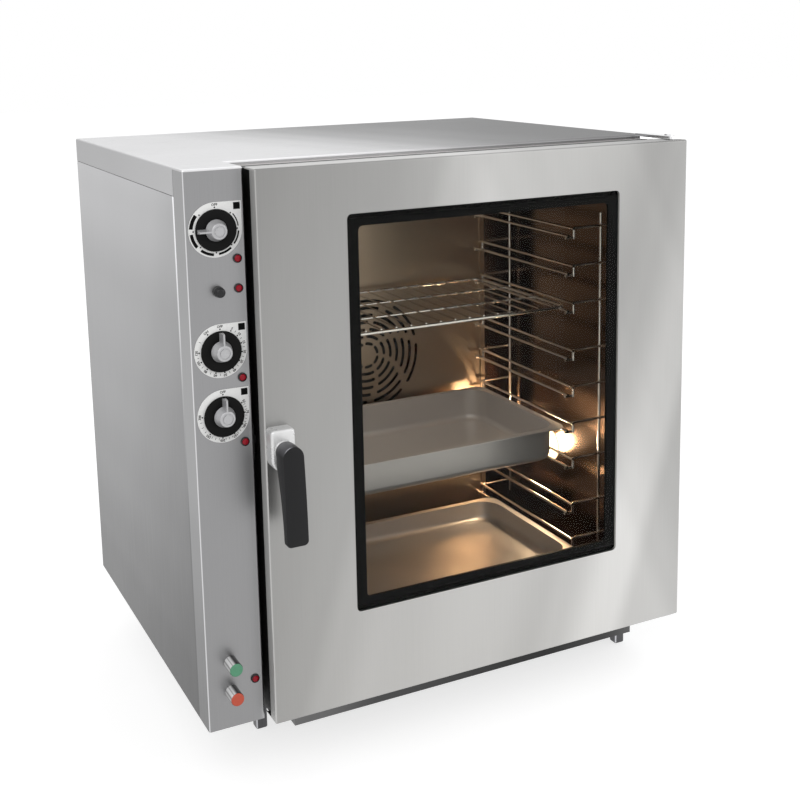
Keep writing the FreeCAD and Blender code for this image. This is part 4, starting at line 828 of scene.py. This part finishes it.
# %% The hub, with its shaft
hub_front = -20.9
hub_steps = [(16, 2.6), (15.5, 3.0), (skirt_front + 0.4, 3.0), (skirt_front + 0.4, 15.8), (skirt_front, 16.3),
             (-6.6, 16.2), (-7.0, 15.8), (-19.4, 12.2), (-20.4, 11.8), (hub_front, 11.0), (hub_front, 8.6),
             (-19.7, 8.4), (-19.7, 6.9), (hub_front, 6.7)]
timer_hub = turned("timer_hub", dial_x, timer_z, hub_steps, 72)

# %% The pointer
fin_half, fin_front_share = 3.0, 0.45
fin_front, fin_start, fin_reach, fin_edge = hub_front + 0.4, 6, 29, 0.5
pointer = start_block("pointer", (dial_x - fin_half, fin_front, timer_z + fin_start),
                      (dial_x + fin_half, skirt_front, timer_z + fin_reach))
editing(pointer)
pick(pointer, "FACE", lambda place, face: place.y < fin_front + near)
bpy.ops.transform.resize(value=(fin_front_share, 1, 1), center_override=at(dial_x, hub_front, timer_z))
pick(pointer, "EDGE", lambda place, edge: place.y < fin_front + near and place.z > timer_z + fin_start + near)
rounded(fin_edge, 2)
closed_outward()
smooth(pointer, 20)

# %% Join, copy and turn to the photographed settings
humidity_setting = 270
joined(timer_hub, pointer)
humidity_hub, thermostat_hub = on_other_dials(timer_hub, "hub")
turned_into_place(humidity_hub, humidity_setting, humidity_z)
settle(humidity_hub, knob_silver, "humidity_knob", "knob_silver", "humidity_knob_hub")
settle(timer_hub, knob_silver, "timer_knob", "knob_silver", "timer_knob_hub")
settle(thermostat_hub, knob_silver, "thermostat_knob", "knob_silver", "thermostat_knob_hub")
print("hub faces", len(timer_hub.data.polygons))

# %% [markdown]
# ### Lamps
# An indicator is a domed red lens in a dark bezel. The dome follows a quarter circle: each step of the lathe
# moves forward by the sine and inward by the cosine.

# %% Bezel and lens
lamp_x = 78
lamp_heights = (744, 699, 562, 461, 72)
lens_radius = 5
lens_base, lens_rise = -2.6, 1.85
dome_steps, dome_step = 8, 12
bezel_steps = [(0, 7), (-2.0, 7), (-2.7, 6.7), (-3.0, 6.1), (-3.0, 5.7), (-2.4, 5.3), (-1.2, 5.2)]
first_bezel = turned("bezel_1", lamp_x, lamp_heights[0], bezel_steps, 40)
lens_steps = [(14, 4.2), (13.6, 4.6), (0, 4.6), (0, lens_radius)]
for step in range(dome_steps):
    turn = math.radians(step * dome_step)
    lens_steps.append((lens_base - lens_rise * math.sin(turn), lens_radius * math.cos(turn)))
first_lens = turned("lens_1", lamp_x, lamp_heights[0], lens_steps, 40)
for number, height in enumerate(lamp_heights):
    bezel, lens = first_bezel, first_lens
    if number:
        move = (0, 0, height - lamp_heights[0])
        bezel = copied(first_bezel, "bezel_%d" % (number + 1), move)
        lens = copied(first_lens, "lens_%d" % (number + 1), move)
    settle(bezel, bezel_dark, "case", "black_gloss", "indicator_bezels")
    settle(lens, red_lens, "case", "red_lens", "indicator_lenses")
print("lamps", len(lamp_heights))

# %% [markdown]
# ### Push buttons
# The green and red buttons sit in long chromed barrels with a rounded lip; the black one has a short collar. A
# barrel is drawn forward, turned in at the lip and drawn back to make its well. Its switch block is behind.

# %% A barrel with its switch
button_x = 39
green_z, red_z, reset_z = 109, 60, 697
switch_half, switch_front, switch_back, switch_edge = 9, 13.2, 37.2, 1.0
barrel_steps = [(switch_front, 8.8), (0, 8.8), (0, 10.3), (-0.5, 10.7), (-27.2, 10.7), (-27.7, 10.65),
                (-28, 10.5), (-27.7, 10.38), (-27.2, 10.35), (-16.7, 10.35), (-16.7, 4.3), (10, 4.3)]
green_barrel = turned("green_barrel", button_x, green_z, barrel_steps)


def add_switch(barrel, x, z):
    """Joins a small switch block, with softened edges, behind a barrel."""
    block = start_block("switch", (x - switch_half, switch_front, z - switch_half),
                        (x + switch_half, switch_back, z + switch_half))
    editing(block)
    bpy.ops.mesh.select_all(action="SELECT")
    rounded(switch_edge, 2)
    closed_outward()
    joined(barrel, block)


add_switch(green_barrel, button_x, green_z)
red_barrel = copied(green_barrel, "red_barrel", (0, 0, red_z - green_z))
settle(green_barrel, barrel_chrome, "case", "chrome_fitting", "button_barrels")
settle(red_barrel, barrel_chrome, "case", "chrome_fitting", "button_barrels")

# %% Their caps, a little dished
cap_steps = [(1.2, 3.4), (0.6, 4.0), (-21.8, 4.0), (-21.8, 10.0), (-22.0, 10.2), (-28.6, 10.2), (-29.3, 10.0),
             (-29.7, 9.4), (-29.8, 8.5), (-29.6, 5.4), (-29.5, 2.0)]
green_piece = turned("green_cap", button_x, green_z, cap_steps)
red_piece = copied(green_piece, "red_cap", (0, 0, red_z - green_z))
settle(green_piece, green_cap, "green_button", "green_cap", "green_button")
settle(red_piece, red_cap, "red_button", "red_cap", "red_button")

# %% The black button and its collar
collar_steps = [(switch_front, 6.9), (0, 6.9), (0, 8.6), (-0.9, 8.6), (-0.9, 8.2), (-6.9, 8.2), (-7.7, 8.0),
                (-8.0, 7.9), (-4.0, 7.8), (-4.0, 4.3), (10, 4.3)]
reset_collar = turned("reset_collar", dial_x, reset_z, collar_steps)
add_switch(reset_collar, dial_x, reset_z)
settle(reset_collar, collar_grey, "case", "black_gloss", "button_barrels")
reset_steps = [(1.2, 3.4), (0.6, 4.0), (-7.7, 4.0), (-7.7, 7.4), (-8.0, 7.6), (-12.0, 7.6), (-13.6, 7.2),
               (-14.8, 6.4), (-15.6, 5.0), (-15.95, 3.0), (-16.0, 1.0)]
reset_piece = turned("reset_cap", dial_x, reset_z, reset_steps)
settle(reset_piece, dark_plastic, "reset_button", "dark_plastic", "reset_button")
print("button faces", len(green_barrel.data.polygons), len(green_piece.data.polygons))

# %% [markdown]
# ### Handle
# The rose on the door is a casting, square above and round below, with soft edges and a round boss. It starts as
# a block: its lower corners are bevelled into half a circle, its upper ones a little, and its front all round.

# %% The rose
handle_x, handle_z = 120.5, 455
rose_half, rose_low, rose_high = 19.5, 421, 487
rose_front, door_front = -53, -30
rose_corner, rose_edge = 6, 4
rose = start_block("rose", (handle_x - rose_half, rose_front, rose_low),
                   (handle_x + rose_half, door_front, rose_high))
editing(rose)
pick(rose, "EDGE", lambda place, edge: depth_edge(place, edge) and place.z < handle_z)
rounded(rose_half - near, 16)
pick(rose, "EDGE", lambda place, edge: depth_edge(place, edge) and place.z > rose_high - near)
rounded(rose_corner, 6)
pick(rose, "EDGE", front_edge(rose_front))
rounded(rose_edge, 5)
closed_outward()
smooth(rose, 40)
boss = turned("boss", handle_x, handle_z, [(-49, 15), (rose_front, 15), (-55.8, 14.7), (-56.6, 14.4), (-57, 13.4)])
joined(rose, boss)
settle(rose, rose_chrome, "door", "chrome_fitting", "handle_base")

# %% The neck with its spindle
neck_steps = [(25, 5.4), (24.4, 6), (-57.3, 6), (-57.3, 13.2), (-57.7, 13.8), (-58.3, 14), (-71.8, 14)]
neck = turned("neck", handle_x, handle_z, neck_steps)
settle(neck, chrome, "handle", "chrome_fitting", "handle_lever")
print("rose faces", len(rose.data.polygons))

# %% [markdown]
# The grip is a moulded bar. Its head is a deep arch round the neck, and its foot is a thin blade that is a little
# wider. A block gets its arched head by bevelling the two upper corners as far as they go. Bisect cuts it into
# slices. Then each slice is widened, its front moves back as it rises, and its back moves to the curve that thins
# the bar below the head.

# %% The grip's outline
head_half, foot_half = 16.5, 17.5
grip_top, grip_foot = handle_z + head_half, 319
foot_front, head_back = -99, -62
foot_corner = 7
grip = start_block("grip", (handle_x - head_half, foot_front, grip_foot),
                   (handle_x + head_half, head_back, grip_top))
editing(grip)
pick(grip, "EDGE", lambda place, edge: depth_edge(place, edge) and place.z > handle_z)
rounded(head_half - near / 2, 12)
pick(grip, "EDGE", lambda place, edge: depth_edge(place, edge) and place.z < grip_foot + near)
rounded(foot_corner, 6)

# %% Cut it into slices
slices, first_slice = 18, grip_foot + 8
for step in range(1, slices):
    height = first_slice + (handle_z - first_slice) * step / slices
    bpy.ops.mesh.select_all(action="SELECT")
    bpy.ops.mesh.bisect(plane_co=at(handle_x, foot_front, height), plane_no=(0, 0, 1))

# %% Curve it, thin it and widen it
rise, lean_back = grip_top - grip_foot, 7
curve_radius = (lean_back ** 2 + rise ** 2) / (2 * lean_back)
shoulder = handle_z - head_half
foot_back, waist = -86.5, 5
middle_depth = (foot_front + head_back) / 2


def back_at(level):
    """How far the back has come forward at a height: none on the head, most at the foot, bowed between."""
    share = max(0.0, (shoulder - level) / (shoulder - grip_foot))
    return share * (foot_back - head_back) - 4 * waist * share * (1 - share)


levels = sorted({round(on_case(vertex.co).z, 2) for vertex in bmesh.from_edit_mesh(grip.data).verts})
same_level = near / 10
for level in levels:
    front_move = curve_radius - math.sqrt(curve_radius ** 2 - (level - grip_foot) ** 2)
    widen = 1 + (foot_half / head_half - 1) * max(0.0, handle_z - level) / (handle_z - grip_foot)
    pick(grip, "VERT", lambda place, vertex: abs(place.z - level) < same_level)
    bpy.ops.transform.resize(value=(widen, 1, 1), center_override=at(handle_x, 0, level))
    pick(grip, "VERT", lambda place, vertex: abs(place.z - level) < same_level and place.y < middle_depth)
    bpy.ops.transform.translate(value=(0, front_move * mm, 0))
    pick(grip, "VERT", lambda place, vertex: abs(place.z - level) < same_level and place.y > middle_depth)
    bpy.ops.transform.translate(value=(0, back_at(level) * mm, 0))
print("slices", len(levels))

# %% Soften its edges
grip_edge, sharp_turn = 2.2, 50
bpy.ops.object.mode_set(mode="OBJECT")
soften = grip.modifiers.new("soften", "BEVEL")
soften.width = grip_edge * mm
soften.segments = 3
soften.limit_method = "ANGLE"
soften.angle_limit = math.radians(sharp_turn)
bpy.ops.object.modifier_apply(modifier="soften")
editing(grip)
closed_outward()
smooth(grip, 30)

# %% The collar round the neck
neck_collar_steps = [(-74, 16.3), (-61.5, 16.3), (-59.6, 16.1), (-59, 15.5), (-59, 14.15), (-72, 14.15)]
collar = turned("collar", handle_x, handle_z, neck_collar_steps, 96)
joined(grip, collar)
settle(grip, grip_plastic, "handle", "black_gloss", "handle_grip")
print("grip faces", len(grip.data.polygons))

# %% [markdown]
# ### Pans
# A baking pan is drawn from one sheet: a flat floor, soft corners, and a flat rim with a short lip. Its body is a
# block without its top, with bevelled corners and foot. The lip is the side of a larger block with tighter
# corners, and lies a little lower, so that the rim falls outward. Bridge joins the two open edges as the rim, and
# solidify gives the sheet its thickness.

# %% Draw one pan
pan_left, pan_right, pan_across = 232, 762, 325
rim_width, pan_sheet, lip_height, rim_fall = 12.5, 1.0, 1.4, 0.4
pan_corner, pan_foot, lip_corner = 42, 13, 23


def drawn_pan(name, front, top, depth):
    """A pan from its front edge, its rim's height and its depth."""
    shell_top = top - pan_sheet
    body = start_block(name, (pan_left + rim_width, front + rim_width, top - depth),
                       (pan_right - rim_width, front + pan_across - rim_width, shell_top))
    editing(body)
    pick(body, "FACE", lambda place, face: place.z > shell_top - near)
    bpy.ops.mesh.delete(type="FACE")
    pick(body, "EDGE", upright_edge)
    rounded(pan_corner, 9)
    pick(body, "EDGE", lambda place, edge: all(on_case(v.co).z < top - depth + near for v in edge.verts))
    rounded(pan_foot, 5)
    bpy.ops.object.mode_set(mode="OBJECT")
    lip = start_block("lip", (pan_left + pan_sheet, front + pan_sheet, shell_top - lip_height),
                      (pan_right - pan_sheet, front + pan_across - pan_sheet, shell_top - rim_fall))
    editing(lip)
    pick(lip, "FACE", lambda place, face: abs(face.normal.z) > 0.9)
    bpy.ops.mesh.delete(type="FACE")
    pick(lip, "EDGE", upright_edge)
    rounded(lip_corner, 9)
    bpy.ops.object.mode_set(mode="OBJECT")
    editing(joined(body, lip))
    pick(body, "EDGE", lambda place, edge: all(on_case(v.co).z > shell_top - rim_fall - near for v in edge.verts))
    bpy.ops.mesh.bridge_edge_loops()
    bpy.ops.mesh.select_all(action="SELECT")
    bpy.ops.mesh.normals_make_consistent(inside=False)
    floor_face = min(bmesh.from_edit_mesh(body.data).faces, key=lambda face: face.calc_center_median().z)
    if floor_face.normal.z > 0:
        bpy.ops.mesh.flip_normals()
    bpy.ops.object.mode_set(mode="OBJECT")
    wall = body.modifiers.new("wall", "SOLIDIFY")
    wall.thickness = pan_sheet * mm
    wall.offset = -1
    bpy.ops.object.modifier_apply(modifier="wall")
    smooth(body, 50)
    return body


upper_pan = drawn_pan("upper_pan", 140, 333.2, 65)
lower_pan = drawn_pan("lower_pan", 94, 103.2, 40)
settle(upper_pan, pan_steel, "deep_pan", "steel_pan", "deep_pan")
settle(lower_pan, pan_steel, "shallow_pan", "steel_pan", "shallow_pan")
print("pan faces", len(upper_pan.data.polygons))

# %% [markdown]
# ## Studio
# The object stands on a plain white floor in a white room, lit by large soft lamps. The room is white to the
# camera and to reflections, and gives less light otherwise, so that colours render about as they are written.
# The floor adds a steady part to what the lamps give it, so it is white where it is lit and keeps the shadow.

# %% Is this ray one that looks at the background?


def looking_ray(tree):
    """One for camera, glossy and transmission rays, and zero otherwise."""
    path = node(tree, "LightPath").outputs
    seen = node(tree, "Math", "MAXIMUM", {0: path["Is Camera Ray"], 1: path["Is Glossy Ray"]}).outputs[0]
    return node(tree, "Math", "MAXIMUM", {0: seen, 1: path["Is Transmission Ray"]}).outputs[0]


# %% White floor
steady_light = 0.72
bpy.ops.mesh.primitive_plane_add(size=40, location=(0, 0, -0.001))
floor = bpy.context.object
floor.name = "floor"
floor_paint, tree, floor_shader = finish_start("floor_paint")
grain = noise_along(tree, (3, 3, 3))
floor_colour = colours_by(tree, between(tree, grain, 0.0, 1.0), (0.44, 0.44, 0.44), (0.46, 0.46, 0.46))
steady = node(tree, "Math", "MULTIPLY", {0: looking_ray(tree), 1: steady_light}).outputs[0]
fill(tree, floor_shader, {"Base Color": floor_colour, "Roughness": 0.9, "Specular IOR Level": 0.0,
                          "Emission Color": (1, 1, 1, 1), "Emission Strength": steady})
floor.data.materials.append(floor_paint)

# %% White room
world = bpy.data.worlds.new("room")
bpy.context.scene.world = world
world.use_nodes = True
tree = world.node_tree
tree.nodes.clear()
white = (1, 1, 1, 1)
room_light = node(tree, "Background", inputs={"Color": white, "Strength": 0.75})
room_white = node(tree, "Background", inputs={"Color": white, "Strength": 1.0})
room_mix = node(tree, "MixShader", inputs={"Fac": looking_ray(tree), 1: room_light.outputs["Background"],
                                           2: room_white.outputs["Background"]})
node(tree, "OutputWorld", inputs={"Surface": room_mix.outputs["Shader"]})

# %% Lamps


def soft_lamp(name, place, target, size, power):
    """A soft box that faces a point."""
    data = bpy.data.lights.new(name, "AREA")
    data.shape = "RECTANGLE"
    data.size, data.size_y = size
    data.energy = power
    lamp = bpy.data.objects.new(name, data)
    bpy.context.scene.collection.objects.link(lamp)
    lamp.location = place
    lamp.rotation_euler = (Vector(target) - Vector(place)).to_track_quat("-Z", "Y").to_euler()
    return lamp


soft_lamp("key_lamp", (-2.4, -2.6, 3.0), (0, 0, 0.5), (2.6, 2.6), 34)
soft_lamp("fill_lamp", (2.6, -2.6, 1.6), (0, 0, 0.5), (2.4, 2.4), 18)
soft_lamp("back_lamp", (0.6, 2.8, 2.8), (0, 0, 0.6), (2.4, 2.0), 15)

# %% The bulb in the cavity
bulb_data = bpy.data.lights.new("cavity_bulb", "POINT")
bulb_data.energy = 2.2
bulb_data.color = (1.0, 0.72, 0.45)
bulb_data.shadow_soft_size = 0.02
bulb = bpy.data.objects.new("cavity_bulb", bulb_data)
bpy.context.scene.collection.objects.link(bulb)
bulb.location = at(815, 326, 231)

# %% A soft warm fill above the shelf, so that the pans can be seen
warm_fill = soft_lamp("cavity_fill", at(497, 250, 785), at(497, 300, 100), (0.45, 0.25), 2.5)
warm_fill.data.color = (1.0, 0.86, 0.72)
warm_fill.visible_glossy = False
print("lamps", len(bpy.data.lights))

# %% [markdown]
# ## Camera
# The camera's place, turn and lens come from solving the straight edges of the case in the photograph. The
# middle of the picture isn't the middle of the lens, as after a crop, so the lens is shifted.

# %% Camera
camera_place = at(-504.1, -1714.9, 1062.1)
turn_right = -0.4579
look_down = -0.1724
lean = 0.02
sensor = 36.0
focal_pixels = 1231.29
picture_pixels = 800
centre_across = 396.46
centre_down = 251.32
camera_data = bpy.data.cameras.new("studio_camera")
camera = bpy.data.objects.new("studio_camera", camera_data)
bpy.context.scene.collection.objects.link(camera)
aim = (Matrix.Rotation(turn_right, 3, "Z") @ Matrix.Rotation(look_down, 3, "X")
       @ Matrix.Rotation(lean, 3, "Y") @ Matrix.Rotation(math.radians(90), 3, "X"))
camera.matrix_world = Matrix.Translation(camera_place) @ aim.to_4x4()
camera_data.sensor_width = sensor
camera_data.lens = focal_pixels / picture_pixels * sensor
camera_data.shift_x = (picture_pixels / 2 - centre_across) / picture_pixels
camera_data.shift_y = -(picture_pixels / 2 - centre_down) / picture_pixels
bpy.context.scene.camera = camera
bpy.context.scene.view_settings.view_transform = "Standard"
print("lens", round(camera_data.lens, 2))
